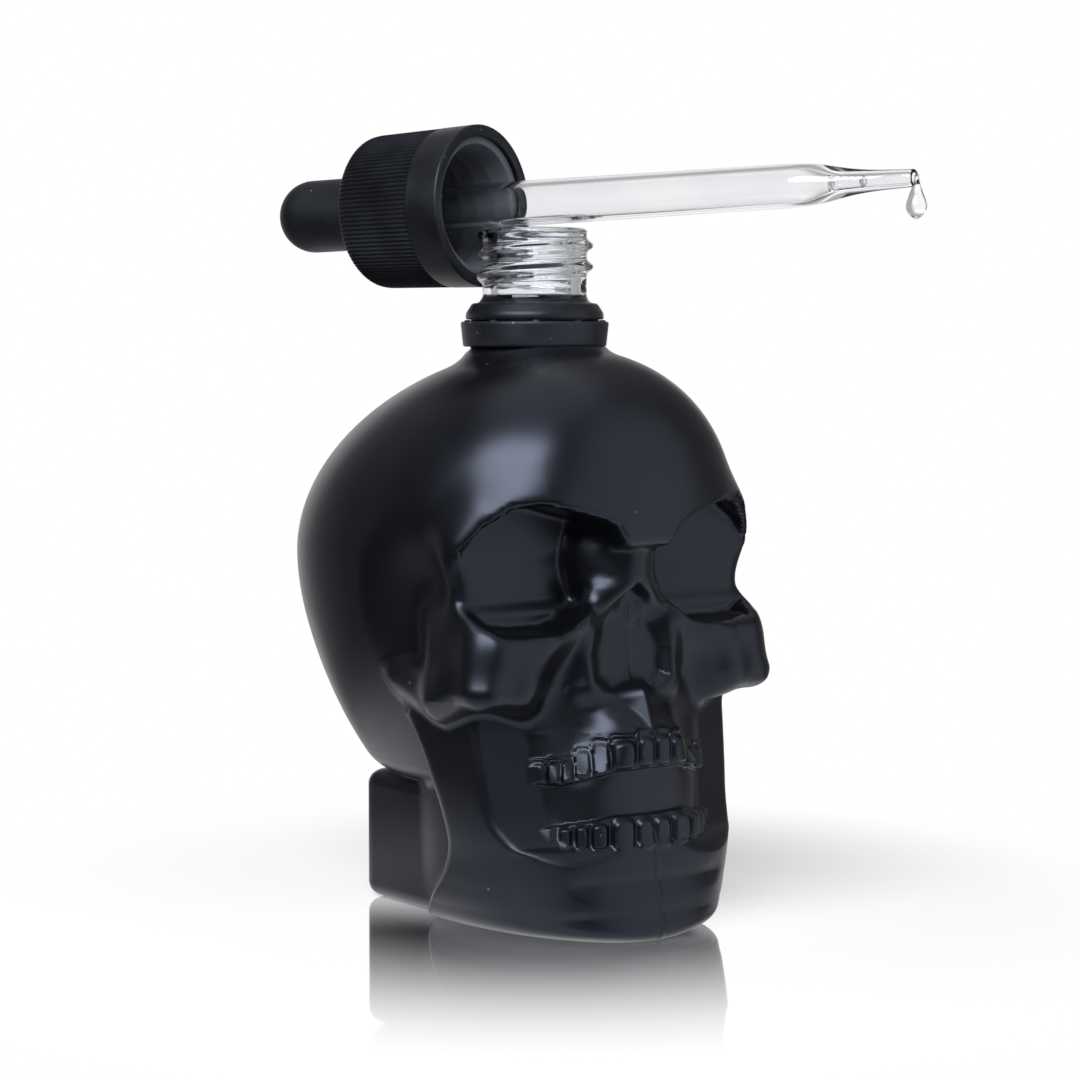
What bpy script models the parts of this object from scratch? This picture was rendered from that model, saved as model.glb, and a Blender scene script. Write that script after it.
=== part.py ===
"""Skull bottle with a dropper closure laid across its mouth.

World frame: metres, +Z up, the foot of the bottle on Z = 0, the neck axis on X = Y = 0,
the face of the skull toward -Y.  Numbers in tables whose names end in share or shares
are parts of skull_height.
"""
import math

import bpy
import numpy as np
from mathutils import Matrix

# driving sizes, metres

skull_width = 0.0594
skull_length = 0.0740
bottle_height = 0.1037
neck_height = 0.0207
skull_height = bottle_height - neck_height

neck_diameter = 0.0158
neck_foot_diameter = 0.0195
bore_diameter = 0.0116
bead_diameter = 0.0209
bead_top_diameter = 0.0190
bead_height = 0.0024
thread_height = 0.0113
glass_wall = 0.0034

band_top_diameter = 0.0225
band_foot_diameter = 0.0217
band_height = 0.0038
running_gap = 0.0003

shell_rim_diameter = 0.0248
shell_end_diameter = 0.0238
shell_length = 0.0197
shell_wall = 0.0012
shell_corner = 0.0015
inner_cap_wall = 0.0014
inner_cap_recess = 0.0009
push_travel = 0.0005

bulb_diameter = 0.0114
bulb_reach = 0.0190
bulb_wall = 0.0016
bulb_flange_diameter = 0.0172
bulb_flange_height = 0.0016

pipette_diameter = 0.0070
pipette_shoulder_diameter = 0.0062
pipette_tip_diameter = 0.0024
pipette_throat_diameter = 0.0031
pipette_wall = 0.0009
pipette_tip_bore = 0.0014
pipette_flange_diameter = 0.0130
pipette_flange_height = 0.0010
pipette_spigot_height = 0.0050
pipette_straight_reach = 0.0460
pipette_throat_reach = 0.0552
pipette_reach = 0.0637

cap_rim_setback = 0.00945
rest_gap = 0.0002
dropper_bearing = math.radians(18.4)
dropper_rise = math.radians(1.5)

# the skull's own proportions, parts of skull_height

width_share = 0.7157
length_share = 0.8916

case_middle_share = (0.0, 0.0843, 0.6747)
case_half_width_share = 0.3578
case_reach_shares = {"front_share": 0.4096, "back_share": 0.4337,
                     "up_share": 0.3614, "down_share": 0.5663}
case_lean_start_share = 0.6024
case_lean = 0.8715
case_power_front = 2.6
case_power_back = 2.25
case_power_up = 2.0
case_power_down = 1.7
case_underside_share = 0.2410
case_underside_round_share = 0.0422
face_cut_shares = {"back_share": -0.2048, "top_share": 0.6867,
                   "round_share": 0.0361, "blend_share": 0.0241}
lobe_cut_shares = {"front_share": -0.0241, "level_share": 0.2410, "top_share": 0.4036,
                   "round_share": 0.0217, "blend_share": 0.0181}
lobe_cut_slope = 0.05

# rods: start x y z, end x y z, start radius, end radius, blend
brow_rod_shares = (
    (0.1687, -0.2337, 0.7325, 0.2530, -0.2120, 0.7157, 0.0458, 0.0410, 0.0361),
    (0.2530, -0.2120, 0.7157, 0.2904, -0.1976, 0.6795, 0.0410, 0.0337, 0.0361),
    (0.2904, -0.1976, 0.6795, 0.2843, -0.1952, 0.6024, 0.0337, 0.0277, 0.0361),
)
brow_blend_share = 0.0723
bridge_rod_shares = (
    (0.0, -0.1639, 0.7530, 0.0, -0.1976, 0.6687, 0.0843, 0.0892, 0.0217),
    (0.0, -0.1976, 0.6687, 0.0, -0.2337, 0.6048, 0.0892, 0.0747, 0.0241),
    (0.0, -0.2723, 0.7349, 0.0, -0.2554, 0.6145, 0.0530, 0.0506, 0.0193),
    (0.0506, -0.2578, 0.6048, 0.0867, -0.2530, 0.5241, 0.0229, 0.0253, 0.0217),
    (0.0867, -0.2530, 0.5241, 0.0867, -0.2627, 0.4458, 0.0253, 0.0289, 0.0241),
)
rim_rod_share = (0.1084, -0.2590, 0.5602, 0.2651, -0.2470, 0.5205,
                 0.0349, 0.0410, 0.0265)
zygoma_rod_share = (0.2843, -0.1687, 0.4410, 0.2819, -0.0145, 0.4265,
                    0.0506, 0.0446, 0.0289)

# blocks: low corner, high corner, edge rounding, blend
upper_jaw_block_shares = (
    (-0.2349, -0.2855, 0.3928), (0.2349, 0.0, 0.5602), 0.0506, 0.0301)
maxilla_block_shares = (
    (-0.1687, -0.2723, 0.3133), (0.1687, 0.0, 0.5060), 0.0542, 0.0301)
cheek_block_shares = (
    (0.1687, -0.2988, 0.3855), (0.3434, -0.1084, 0.6024), 0.0410, 0.0301)
cheek_slope = 0.24
cheek_slope_start_share = 0.4277
cheek_lift_shares = {"rear_share": -0.1084, "front_share": -0.1446, "reach_share": 0.0723,
                     "top_share": 0.5181, "foot_share": 0.4337}
cheek_rear_slope = 0.36
cheek_front_slope = 0.40
rear_block_shares = (
    (-0.1867, -0.1205, 0.0), (0.1867, 0.2928, 0.2410), 0.0289, 0.0145)
rear_core_shares = (
    (-0.1446, -0.0723, 0.0241), (0.1446, 0.2506, 0.3855), 0.0289, 0.0145)

# hollows: middle, radii, blend
hollow_shares = (
    ((0.4096, -0.1084, 0.5602), (0.1145, 0.1084, 0.1566), 0.0723),
    ((0.1470, -0.3373, 0.4096), (0.0675, 0.0843, 0.1145), 0.0482),
)

# the arch that carries the teeth, and the keel below the nose
arch_shares = {"half_share": 0.2000, "front_share": 0.2072, "back_share": 0.0723,
               "middle_share": -0.1446, "top_share": 0.4337, "foot_share": 0.0602,
               "rear_share": -0.2205, "round_share": 0.0193,
               "lean_start_share": 0.3639, "lean_reach_share": 0.0723}
arch_lean = 1.1
arch_power_front = 2.6
arch_power_back = 2.0
# depth of the plain gap between the rows: levels up the arch and how far it is set back
gap_level_shares = (0.2169, 0.2337, 0.2843, 0.3012)
gap_depth_shares = (0.0, 0.0169, 0.0169, 0.0)
keel_shares = {"front_share": 0.3193, "level_share": 0.4458, "reach_share": 0.1084,
               "half_share": 0.0964, "top_share": 0.4530, "foot_share": 0.3446,
               "rear_share": -0.1928, "round_share": 0.0193}
keel_rise = 0.36
keel_slope = 0.90

# the lower jaw at rising levels: level and half width, then level and front reach
jaw_level_shares = (0.0, 0.0241, 0.0602, 0.0964, 0.1446, 0.1928, 0.2651, 0.4096)
jaw_half_shares = (0.1867, 0.2108, 0.2446, 0.2687, 0.2843, 0.2964, 0.3036, 0.3060)
jaw_powers = (2.0, 2.15, 2.5, 2.8, 3.0, 3.0, 3.0, 3.0)
chin_level_shares = (0.0, 0.0120, 0.0422, 0.0506, 0.0843, 0.0988, 0.1145, 0.1566)
chin_front_shares = (0.3627, 0.3723, 0.3687, 0.3639, 0.3602, 0.3410, 0.3446, 0.3542)
jaw_back_share = 0.0964
jaw_back_power = 2.6

# the slanted plane before each branch, the branch's rear edge and the core between them
front_level_shares = (0.1084, 0.1386, 0.1651, 0.1735, 0.1952, 0.2193, 0.2711, 0.3735)
front_depth_shares = (0.4217, 0.3771, 0.3476, 0.3349, 0.3193, 0.3092, 0.3000, 0.2876)
front_heading = (0.351, 0.936)
rear_level_shares = (0.0, 0.0602, 0.1169, 0.1687, 0.2217, 0.2831, 0.3313, 0.3855)
rear_edge_shares = (-0.0241, -0.0602, -0.1060, -0.1241, -0.1108, -0.0807, -0.0530, -0.0120)
rear_heading = (0.62, 0.78)
jaw_edge_shares = {"top_share": 0.4337, "rear_at_share": 0.2892, "front_round_share": 0.0193,
                   "rear_round_share": 0.0361, "top_round_share": 0.0241,
                   "foot_round_share": 0.0072}
core_level_shares = (0.0, 0.0241, 0.0602, 0.1205, 0.4337)
core_half_shares = (0.1795, 0.1855, 0.1916, 0.1964, 0.2108)
core_reach_shares = {"front_share": 0.2892, "back_share": 0.1446, "blend_share": 0.0301}
core_power_front = 2.4
core_power_back = 3.0
jaw_blend_share = 0.0145

# openings of the face: outline across and up, depth of the floor, roundings
orbit_outline_shares = (
    (0.0482, 0.6265), (0.0530, 0.6928), (0.0723, 0.7181), (0.0964, 0.7301),
    (0.1325, 0.7422), (0.1723, 0.7542), (0.2048, 0.7651), (0.2482, 0.7566),
    (0.2892, 0.7217), (0.3169, 0.6843), (0.3205, 0.6145), (0.3012, 0.5663),
    (0.2795, 0.5446), (0.2325, 0.5386), (0.1627, 0.5386), (0.1325, 0.5482),
    (0.1084, 0.5675), (0.0795, 0.5928))
orbit_floor_shares = {"floor_share": 0.2084, "corner_share": 0.0169, "lip_share": 0.0145}
nose_outline_shares = (
    (0.0, 0.6193), (0.0265, 0.6000), (0.0627, 0.5542), (0.0807, 0.5036),
    (0.0771, 0.4578), (0.0410, 0.4386), (0.0, 0.4506),
    (-0.0410, 0.4386), (-0.0771, 0.4578), (-0.0807, 0.5036), (-0.0627, 0.5542),
    (-0.0265, 0.6000))
nose_floor_shares = {"floor_share": 0.2651, "corner_share": 0.0241, "lip_share": 0.0145}
neck_blend_share = 0.0482
neck_start_share = 0.7229

# rows of the skull's surface: levels, the slope of their rays over the face, then rays
# that rise from one middle, as parts of the angle up to the neck's foot
level_shares = (
    0.0004, 0.0096, 0.0301, 0.0602, 0.0964, 0.1325, 0.1627, 0.1928, 0.2241,
    0.2434, 0.2627, 0.2892, 0.3253, 0.3554, 0.3759, 0.3928, 0.4096,
    0.4313, 0.4578, 0.4892, 0.5181, 0.5398, 0.5590, 0.5831, 0.6145,
    0.6506, 0.6867, 0.7157, 0.7349, 0.7518)
tilt_level_shares = (0.0, 0.3133, 0.3976, 0.4819, 0.5663, 0.6265, 0.7518)
tilt_slopes = (0.0, 0.0, -0.25, 0.0, 0.15, 0.0, -0.28)
tilt_pivot_share = 0.2892
tilt_fade = (math.radians(95.0), math.radians(140.0))
ray_middle_share = 0.6988
fan_rises = (0.05, 0.10, 0.16, 0.23, 0.31, 0.40, 0.49, 0.58, 0.67, 0.76, 0.85, 0.94)
cavity_ray_rises = (0.934, 0.731, 0.528, 0.325, 0.122)
cavity_level_shares = (0.6627, 0.5663, 0.4699, 0.3735, 0.2771, 0.1807, 0.0964, 0.0554)
search_reach_share = 0.6265

skull_columns = 84
eased_rows = (13, 33)
column_crowding = 0.40
neck_corner_share = 0.0072
cavity_round_part = 0.72

round_sides = 48
small_sides = 32


def blend_min(a, b, k):
    h = np.clip(0.5 + 0.5 * (b - a) / k, 0.0, 1.0)
    return b + (a - b) * h - k * h * (1.0 - h)


def blend_max(a, b, k):
    return -blend_min(-a, -b, k)


def egg(p, middle, radii):
    """How far a point lies outside an ellipsoid, near enough to blend with."""
    d = [p[i] - middle[i] for i in range(3)]
    q = np.sqrt(sum((d[i] / radii[i]) ** 2 for i in range(3)))
    g = np.sqrt(sum((d[i] / radii[i] ** 2) ** 2 for i in range(3)))
    return q * (q - 1.0) / np.maximum(g, 1e-9)


def rod(p, row):
    """How far a point lies outside a rod with round ends."""
    a = row[0:3]
    d = [row[3 + i] - a[i] for i in range(3)]
    t = sum((p[i] - a[i]) * d[i] for i in range(3)) / sum(v * v for v in d)
    t = np.clip(t, 0.0, 1.0)
    q = np.sqrt(sum((p[i] - a[i] - t * d[i]) ** 2 for i in range(3)))
    return q - (row[6] + (row[7] - row[6]) * t)


def block(p, low, high, rounding):
    """How far a point lies outside a block with rounded edges."""
    q = []
    for i in range(3):
        middle = 0.5 * (low[i] + high[i])
        half = 0.5 * (high[i] - low[i]) - rounding
        q.append(np.abs(p[i] - middle) - half)
    out = np.sqrt(sum(np.maximum(v, 0.0) ** 2 for v in q))
    return out + np.minimum(np.maximum(np.maximum(q[0], q[1]), q[2]), 0.0) - rounding


def plan(x, y, half, front, back, power_front, power_back, middle):
    """How far a point lies outside an egg-like outline seen from above."""
    dy = y - middle
    reach = np.where(dy < 0.0, front, back)
    power = np.where(dy < 0.0, power_front, power_back)
    s = (np.abs(x / half) ** power + np.abs(dy / reach) ** power + 1e-9) ** (1.0 / power)
    return np.sqrt(x * x + dy * dy) * (1.0 - 1.0 / s)


def outline(px, pz, corners):
    """How far a point lies outside a closed outline, negative inside."""
    nearest = np.full(px.shape, 1e9)
    inside = np.zeros(px.shape, bool)
    for i, (x0, z0) in enumerate(corners):
        x1, z1 = corners[(i + 1) % len(corners)]
        ex = x1 - x0
        ez = z1 - z0
        t = np.clip(((px - x0) * ex + (pz - z0) * ez) / (ex * ex + ez * ez), 0.0, 1.0)
        nearest = np.minimum(nearest, (px - x0 - t * ex) ** 2 + (pz - z0 - t * ez) ** 2)
        if z0 != z1:
            crosses = (z0 > pz) != (z1 > pz)
            inside ^= crosses & (px < ex * (pz - z0) / ez + x0)
    d = np.sqrt(nearest)
    return np.where(inside, -d, d)


def brain_case(x, y, z):
    up = np.maximum(z - case_lean_start_share, 0.0)
    dy = y - case_middle_share[1] + case_lean * up * up
    dz = z - case_middle_share[2]
    reach = np.where(dy < 0.0, case_reach_shares["front_share"], case_reach_shares["back_share"])
    power = np.where(dy < 0.0, case_power_front, case_power_back)
    above = (np.maximum(dz, 0.0) / case_reach_shares["up_share"]) ** case_power_up
    below = (np.maximum(-dz, 0.0) / case_reach_shares["down_share"]) ** case_power_down
    flat = np.abs(x / case_half_width_share) ** power + np.abs(dy / reach) ** power + 1e-9
    s = np.sqrt(flat ** (2.0 / power) + above + below)
    f = np.sqrt(x * x + dy * dy + dz * dz) * (1.0 - 1.0 / np.maximum(s, 1e-3))
    return blend_max(f, case_underside_share - z, case_underside_round_share)


def cheek_bones(x, y, z):
    """Block and rod of one cheek, their lower edge lifted before and behind its lowest place."""
    shift = cheek_slope * np.maximum(z - cheek_slope_start_share, 0.0)
    lift = cheek_rear_slope * np.maximum(y - cheek_lift_shares["rear_share"], 0.0)
    lift = lift + cheek_front_slope * np.clip(cheek_lift_shares["front_share"] - y, 0.0,
                                              cheek_lift_shares["reach_share"])
    span = cheek_lift_shares["top_share"] - cheek_lift_shares["foot_share"]
    lift = lift * np.clip((cheek_lift_shares["top_share"] - z) / span, 0.0, 1.0)
    cheek = block((x + shift, y - shift, z - lift), *cheek_block_shares[0:3])
    bone = rod((x, y, z - lift), zygoma_rod_share)
    return blend_min(cheek, bone, zygoma_rod_share[8])


def dental_arch(x, y, z):
    """The arch that carries the teeth, with the keel below the nose joined to it."""
    arch = plan(x, y, arch_shares["half_share"], arch_shares["front_share"],
                arch_shares["back_share"], arch_power_front, arch_power_back,
                arch_shares["middle_share"])
    arch = arch + np.interp(z, gap_level_shares, gap_depth_shares)
    arch = arch + arch_lean * np.clip(z - arch_shares["lean_start_share"], 0.0,
                                      arch_shares["lean_reach_share"])
    rounding = arch_shares["round_share"]
    arch = blend_max(arch, z - arch_shares["top_share"], rounding)
    arch = blend_max(arch, arch_shares["foot_share"] - z, rounding)
    arch = blend_max(arch, y - arch_shares["rear_share"], rounding)
    keel = -y + keel_slope * x - keel_shares["front_share"]
    keel = keel - keel_rise * np.clip(keel_shares["level_share"] - z, 0.0,
                                      keel_shares["reach_share"])
    keel = keel / math.hypot(1.0, keel_slope, keel_rise)
    rounding = keel_shares["round_share"]
    keel = blend_max(keel, x - keel_shares["half_share"], rounding)
    keel = blend_max(keel, z - keel_shares["top_share"], rounding)
    keel = blend_max(keel, keel_shares["foot_share"] - z, rounding)
    keel = blend_max(keel, y - keel_shares["rear_share"], rounding)
    return blend_min(arch, keel, rounding)


def lower_jaw(x, y, z):
    """Jaw cut by a slanted plane in front and by its rear edge, joined to a narrower core."""
    half = np.interp(z, jaw_level_shares, jaw_half_shares)
    front = np.interp(z, chin_level_shares, chin_front_shares)
    power = np.interp(z, jaw_level_shares, jaw_powers)
    jaw = plan(x, y, half, front, jaw_back_share, power, jaw_back_power, 0.0)
    depth = np.interp(z, front_level_shares, front_depth_shares)
    jaw = blend_max(jaw, front_heading[0] * x - front_heading[1] * y - depth,
                    jaw_edge_shares["front_round_share"])
    edge = np.interp(z, rear_level_shares, rear_edge_shares)
    behind = rear_heading[0] * (x - jaw_edge_shares["rear_at_share"]) + rear_heading[1] * (y - edge)
    jaw = blend_max(jaw, behind, jaw_edge_shares["rear_round_share"])
    core = plan(x, y, np.interp(z, core_level_shares, core_half_shares),
                core_reach_shares["front_share"], core_reach_shares["back_share"],
                core_power_front, core_power_back, 0.0)
    f = blend_min(jaw, core, core_reach_shares["blend_share"])
    f = blend_max(f, z - jaw_edge_shares["top_share"], jaw_edge_shares["top_round_share"])
    return blend_max(f, -z, jaw_edge_shares["foot_round_share"])


def skull_field(x, y, z):
    """Negative inside the skull and positive outside, in parts of skull_height."""
    x = np.abs(x)
    p = (x, y, z)
    f = brain_case(x, y, z)
    f = blend_max(f, -egg(p, *hollow_shares[0][0:2]), hollow_shares[0][2])
    cut = blend_max(y - face_cut_shares["back_share"], z - face_cut_shares["top_share"],
                    face_cut_shares["round_share"])
    f = blend_max(f, -cut, face_cut_shares["blend_share"])
    edge = lobe_cut_shares["front_share"] + lobe_cut_slope * (z - lobe_cut_shares["level_share"])
    cut = blend_max(y - edge, z - lobe_cut_shares["top_share"], lobe_cut_shares["round_share"])
    f = blend_max(f, -cut, lobe_cut_shares["blend_share"])
    brow = rod(p, brow_rod_shares[0])
    for row in brow_rod_shares[1:]:
        brow = blend_min(brow, rod(p, row), row[8])
    f = blend_min(f, brow, brow_blend_share)
    f = blend_min(f, block(p, *upper_jaw_block_shares[0:3]), upper_jaw_block_shares[3])
    f = blend_min(f, block(p, *maxilla_block_shares[0:3]), maxilla_block_shares[3])
    f = blend_min(f, rod(p, rim_rod_share), rim_rod_share[8])
    f = blend_min(f, cheek_bones(x, y, z), cheek_block_shares[3])
    f = blend_min(f, dental_arch(x, y, z), arch_shares["round_share"])
    f = blend_max(f, -egg(p, *hollow_shares[1][0:2]), hollow_shares[1][2])
    f = blend_min(f, lower_jaw(x, y, z), jaw_blend_share)
    for row in (rear_block_shares, rear_core_shares):
        f = blend_min(f, block(p, *row[0:3]), row[3])
    hole = blend_max(outline(x, z, orbit_outline_shares),
                     y + orbit_floor_shares["floor_share"], orbit_floor_shares["corner_share"])
    f = blend_max(f, -hole, orbit_floor_shares["lip_share"])
    for row in bridge_rod_shares:
        f = blend_min(f, rod(p, row), row[8])
    hole = blend_max(outline(x, z, nose_outline_shares),
                     y + nose_floor_shares["floor_share"], nose_floor_shares["corner_share"])
    f = blend_max(f, -hole, nose_floor_shares["lip_share"])
    across = x * (skull_width / width_share)
    along = y * (skull_length / length_share)
    stem = (np.sqrt(across ** 2 + along ** 2) - 0.5 * neck_foot_diameter) / skull_height
    return blend_min(f, np.maximum(stem, neck_start_share - z), neck_blend_share)


def field_at(points):
    """The same field at points given in metres, its result in metres too."""
    x = points[..., 0] * (width_share / skull_width)
    y = points[..., 1] * (length_share / skull_length)
    z = points[..., 2] / skull_height
    return skull_field(x, y, z) * skull_height


def cast(starts, heads, level, outward):
    """Distance along each ray to the surface where the field equals level."""
    reach = search_reach_share * skull_height
    steps = np.linspace(0.02 * reach, reach, 110)
    if not outward:
        steps = steps[::-1]
    near = np.full(starts.shape[:-1], steps[0])
    far = near.copy()
    found = np.zeros(starts.shape[:-1], bool)
    for k in range(1, len(steps)):
        value = field_at(starts + heads * steps[k]) - level
        hit = ((value > 0.0) if outward else (value < 0.0)) & ~found
        near[hit] = steps[k - 1]
        far[hit] = steps[k]
        found |= hit
    for _ in range(16):
        middle = 0.5 * (near + far)
        value = field_at(starts + heads * middle[..., None]) - level
        passed = (value > 0.0) if outward else (value < 0.0)
        far = np.where(passed, middle, far)
        near = np.where(passed, near, middle)
    return 0.5 * (near + far)


def column_angles():
    u = np.linspace(-1.0, 1.0, skull_columns, endpoint=False)
    return math.pi * ((1.0 - column_crowding) * u + column_crowding * u ** 3)


def rays(levels, rises, middle):
    """Row starts and headings: level rays first, then rays that rise from one middle."""
    angles = column_angles()
    level = np.concatenate([levels, np.full(len(rises), middle)])
    rise = np.concatenate([np.zeros(len(levels)), rises])
    starts = np.zeros((len(level), skull_columns, 3))
    starts[..., 2] = level[:, None]
    return starts, headings(angles, np.tan(rise)[:, None])


def headings(angles, slope):
    """Unit headings of rays at the columns' angles that climb by a slope."""
    flat = 1.0 / np.sqrt(1.0 + slope * slope) * np.ones(len(angles))
    return np.stack([flat * np.sin(angles), -flat * np.cos(angles), flat * slope], -1)


def face_rays(levels, neck_level, neck_radius):
    """Rays that fall where the face overhangs and climb at its sills, then a fan to the neck."""
    angles = column_angles()
    pivot = tilt_pivot_share * skull_height
    back = (np.abs(angles) - tilt_fade[0]) / (tilt_fade[1] - tilt_fade[0])
    front = 1.0 - np.clip(back, 0.0, 1.0)
    slope = np.interp(levels / skull_height, tilt_level_shares, tilt_slopes)[:, None] * front
    middle = levels[-1] - pivot * slope[-1]
    low = np.arctan(slope[-1])
    high = np.arctan2(neck_level - middle, neck_radius)
    fan = np.tan(low + np.array(fan_rises)[:, None] * (high - low))
    starts = np.zeros((len(levels) + len(fan_rises), skull_columns, 3))
    starts[:len(levels), :, 2] = levels[:, None] - pivot * slope
    starts[len(levels):, :, 2] = middle
    return starts, headings(angles, np.concatenate([slope, fan]))


def eased(distance, first, last):
    """Face rows drawn towards their neighbours so that the steep walls stay even."""
    side = 0.25 * (np.roll(distance, 1, 1) + np.roll(distance, -1, 1)) + 0.5 * distance
    out = distance.copy()
    out[first:last] = 0.5 * side[first:last]
    out[first:last] += 0.25 * (side[first - 1:last - 1] + side[first + 1:last + 1])
    return out


def bead_levels():
    """Foot and top of the bead, hung from the lip."""
    top = bottle_height - thread_height
    return top - bead_height, top


def ring_row(radius, level):
    angles = column_angles()
    row = np.empty((skull_columns, 3))
    row[:, 0] = radius * np.sin(angles)
    row[:, 1] = -radius * np.cos(angles)
    row[:, 2] = level
    return row


def bottle_rows():
    """Closed grid: foot, outside, neck, bore and cavity."""
    corner = neck_corner_share * skull_height
    bead_foot, bead_top = bead_levels()
    shelf = bead_foot - running_gap - band_height
    foot = 0.5 * neck_foot_diameter
    middle = ray_middle_share * skull_height
    neck_angle = math.atan2(shelf - running_gap - middle, foot)
    levels = np.array(level_shares) * skull_height
    levels[0] = 0.0
    starts, heads = face_rays(levels, shelf - running_gap, foot)
    probe = starts.copy()
    probe[0, :, 2] = level_shares[0] * skull_height
    distance = eased(cast(probe, heads, 0.0, False), eased_rows[0], eased_rows[1])
    outside = starts + heads * distance[..., None]
    rows = []
    rows.extend(outside)
    neck = 0.5 * neck_diameter
    bore = 0.5 * bore_diameter
    rows.append(ring_row(foot, shelf - running_gap))
    rows.append(ring_row(foot, bead_foot))
    rows.append(ring_row(0.5 * bead_diameter, bead_foot))
    rows.append(ring_row(0.5 * bead_top_diameter, bead_top))
    rows.append(ring_row(neck, bead_top + running_gap))
    rows.append(ring_row(neck, bottle_height - corner))
    rows.append(ring_row(neck - corner, bottle_height))
    rows.append(ring_row(bore + corner, bottle_height))
    rows.append(ring_row(bore, bottle_height - corner))
    rows.append(ring_row(bore, shelf - corner))
    cavity_levels = np.array(cavity_level_shares) * skull_height
    low_starts, low_heads = rays(cavity_levels, np.array([]), middle)
    top_starts, top_heads = rays(np.array([]), neck_angle * np.array(cavity_ray_rises), middle)
    starts = np.concatenate([top_starts, low_starts])
    heads = np.concatenate([top_heads, low_heads])
    distance = cast(starts, heads, -glass_wall, True)
    distance[-1] *= cavity_round_part
    rows.extend(starts + heads * distance[..., None])
    return rows


def mesh_object(name, points, faces, colour, roughness, parent=None):
    """A closed mesh with outward faces and a material of its own."""
    mesh = bpy.data.meshes.new(name)
    mesh.from_pydata([tuple(map(float, v)) for v in points], [], faces)
    mesh.update()
    volume = 0.0
    for polygon in mesh.polygons:
        corners = [mesh.vertices[i].co for i in polygon.vertices]
        for k in range(1, len(corners) - 1):
            volume += corners[0].dot(corners[k].cross(corners[k + 1]))
    if volume < 0.0:
        mesh.flip_normals()
    for polygon in mesh.polygons:
        polygon.use_smooth = True
    material = bpy.data.materials.new(name + "_material")
    material.use_nodes = True
    shader = material.node_tree.nodes["Principled BSDF"]
    shader.inputs["Base Color"].default_value = colour
    shader.inputs["Roughness"].default_value = roughness
    mesh.materials.append(material)
    item = bpy.data.objects.new(name, mesh)
    bpy.context.scene.collection.objects.link(item)
    item.parent = parent
    return item


def grid_faces(rows, columns, closed):
    """Quads between neighbouring rows; the last row meets the first when closed."""
    faces = []
    for i in range(rows if closed else rows - 1):
        a = i * columns
        b = ((i + 1) % rows) * columns
        for j in range(columns):
            k = (j + 1) % columns
            faces.append((a + j, a + k, b + k, b + j))
    return faces


def cap_end(points, faces, first, columns, reverse):
    """A fan from the middle of one row."""
    row = points[first:first + columns]
    points.append(np.mean(row, axis=0))
    middle = len(points) - 1
    for j in range(columns):
        a = first + j
        b = first + (j + 1) % columns
        faces.append((middle, a, b) if reverse else (middle, b, a))


def build_bottle():
    rows = bottle_rows()
    points = [v for row in rows for v in row]
    faces = grid_faces(len(rows), skull_columns, False)
    cap_end(points, faces, 0, skull_columns, False)
    cap_end(points, faces, (len(rows) - 1) * skull_columns, skull_columns, True)
    return mesh_object("glass_bottle", points, faces, (0.012, 0.013, 0.016, 1.0), 0.35)


def lathe(name, profile, sides, colour, roughness, parent=None):
    """A turned piece about local Z; the profile is a closed loop of radius and height."""
    points = []
    starts = []
    for radius, height in profile:
        starts.append(len(points))
        if radius == 0.0:
            points.append((0.0, 0.0, height))
            continue
        for j in range(sides):
            angle = 2.0 * math.pi * j / sides
            points.append((radius * math.cos(angle), radius * math.sin(angle), height))
    faces = []
    count = len(profile)
    for i in range(count):
        n = (i + 1) % count
        on_axis = (profile[i][0] == 0.0, profile[n][0] == 0.0)
        if all(on_axis):
            continue
        for j in range(sides):
            k = (j + 1) % sides
            if on_axis[0]:
                faces.append((starts[i], starts[n] + k, starts[n] + j))
            elif on_axis[1]:
                faces.append((starts[i] + j, starts[i] + k, starts[n]))
            else:
                faces.append((starts[i] + j, starts[i] + k, starts[n] + k, starts[n] + j))
    return mesh_object(name, points, faces, colour, roughness, parent)


def arc(middle_radius, middle_height, radius, start, end, steps):
    """Points of an arc in the profile plane, angles in degrees from outward to up."""
    out = []
    for k in range(steps + 1):
        t = math.radians(start + (end - start) * k / steps)
        out.append((middle_radius + radius * math.cos(t), middle_height + radius * math.sin(t)))
    return out


def build_band():
    bead_foot = bead_levels()[0]
    inside = 0.5 * neck_foot_diameter + running_gap
    top = 0.5 * band_top_diameter
    foot = 0.5 * band_foot_diameter
    corner = running_gap
    low = -band_height
    profile = [
        (inside, low),
        (foot - corner, low),
        (foot, low + corner),
        (top, -2.0 * corner),
        (top - 2.0 * corner, 0.0),
        (inside, 0.0),
    ]
    band = lathe("tamper_band", profile, round_sides, (0.015, 0.015, 0.016, 1.0), 0.5)
    band.location = (0.0, 0.0, bead_foot - running_gap)
    return band


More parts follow.
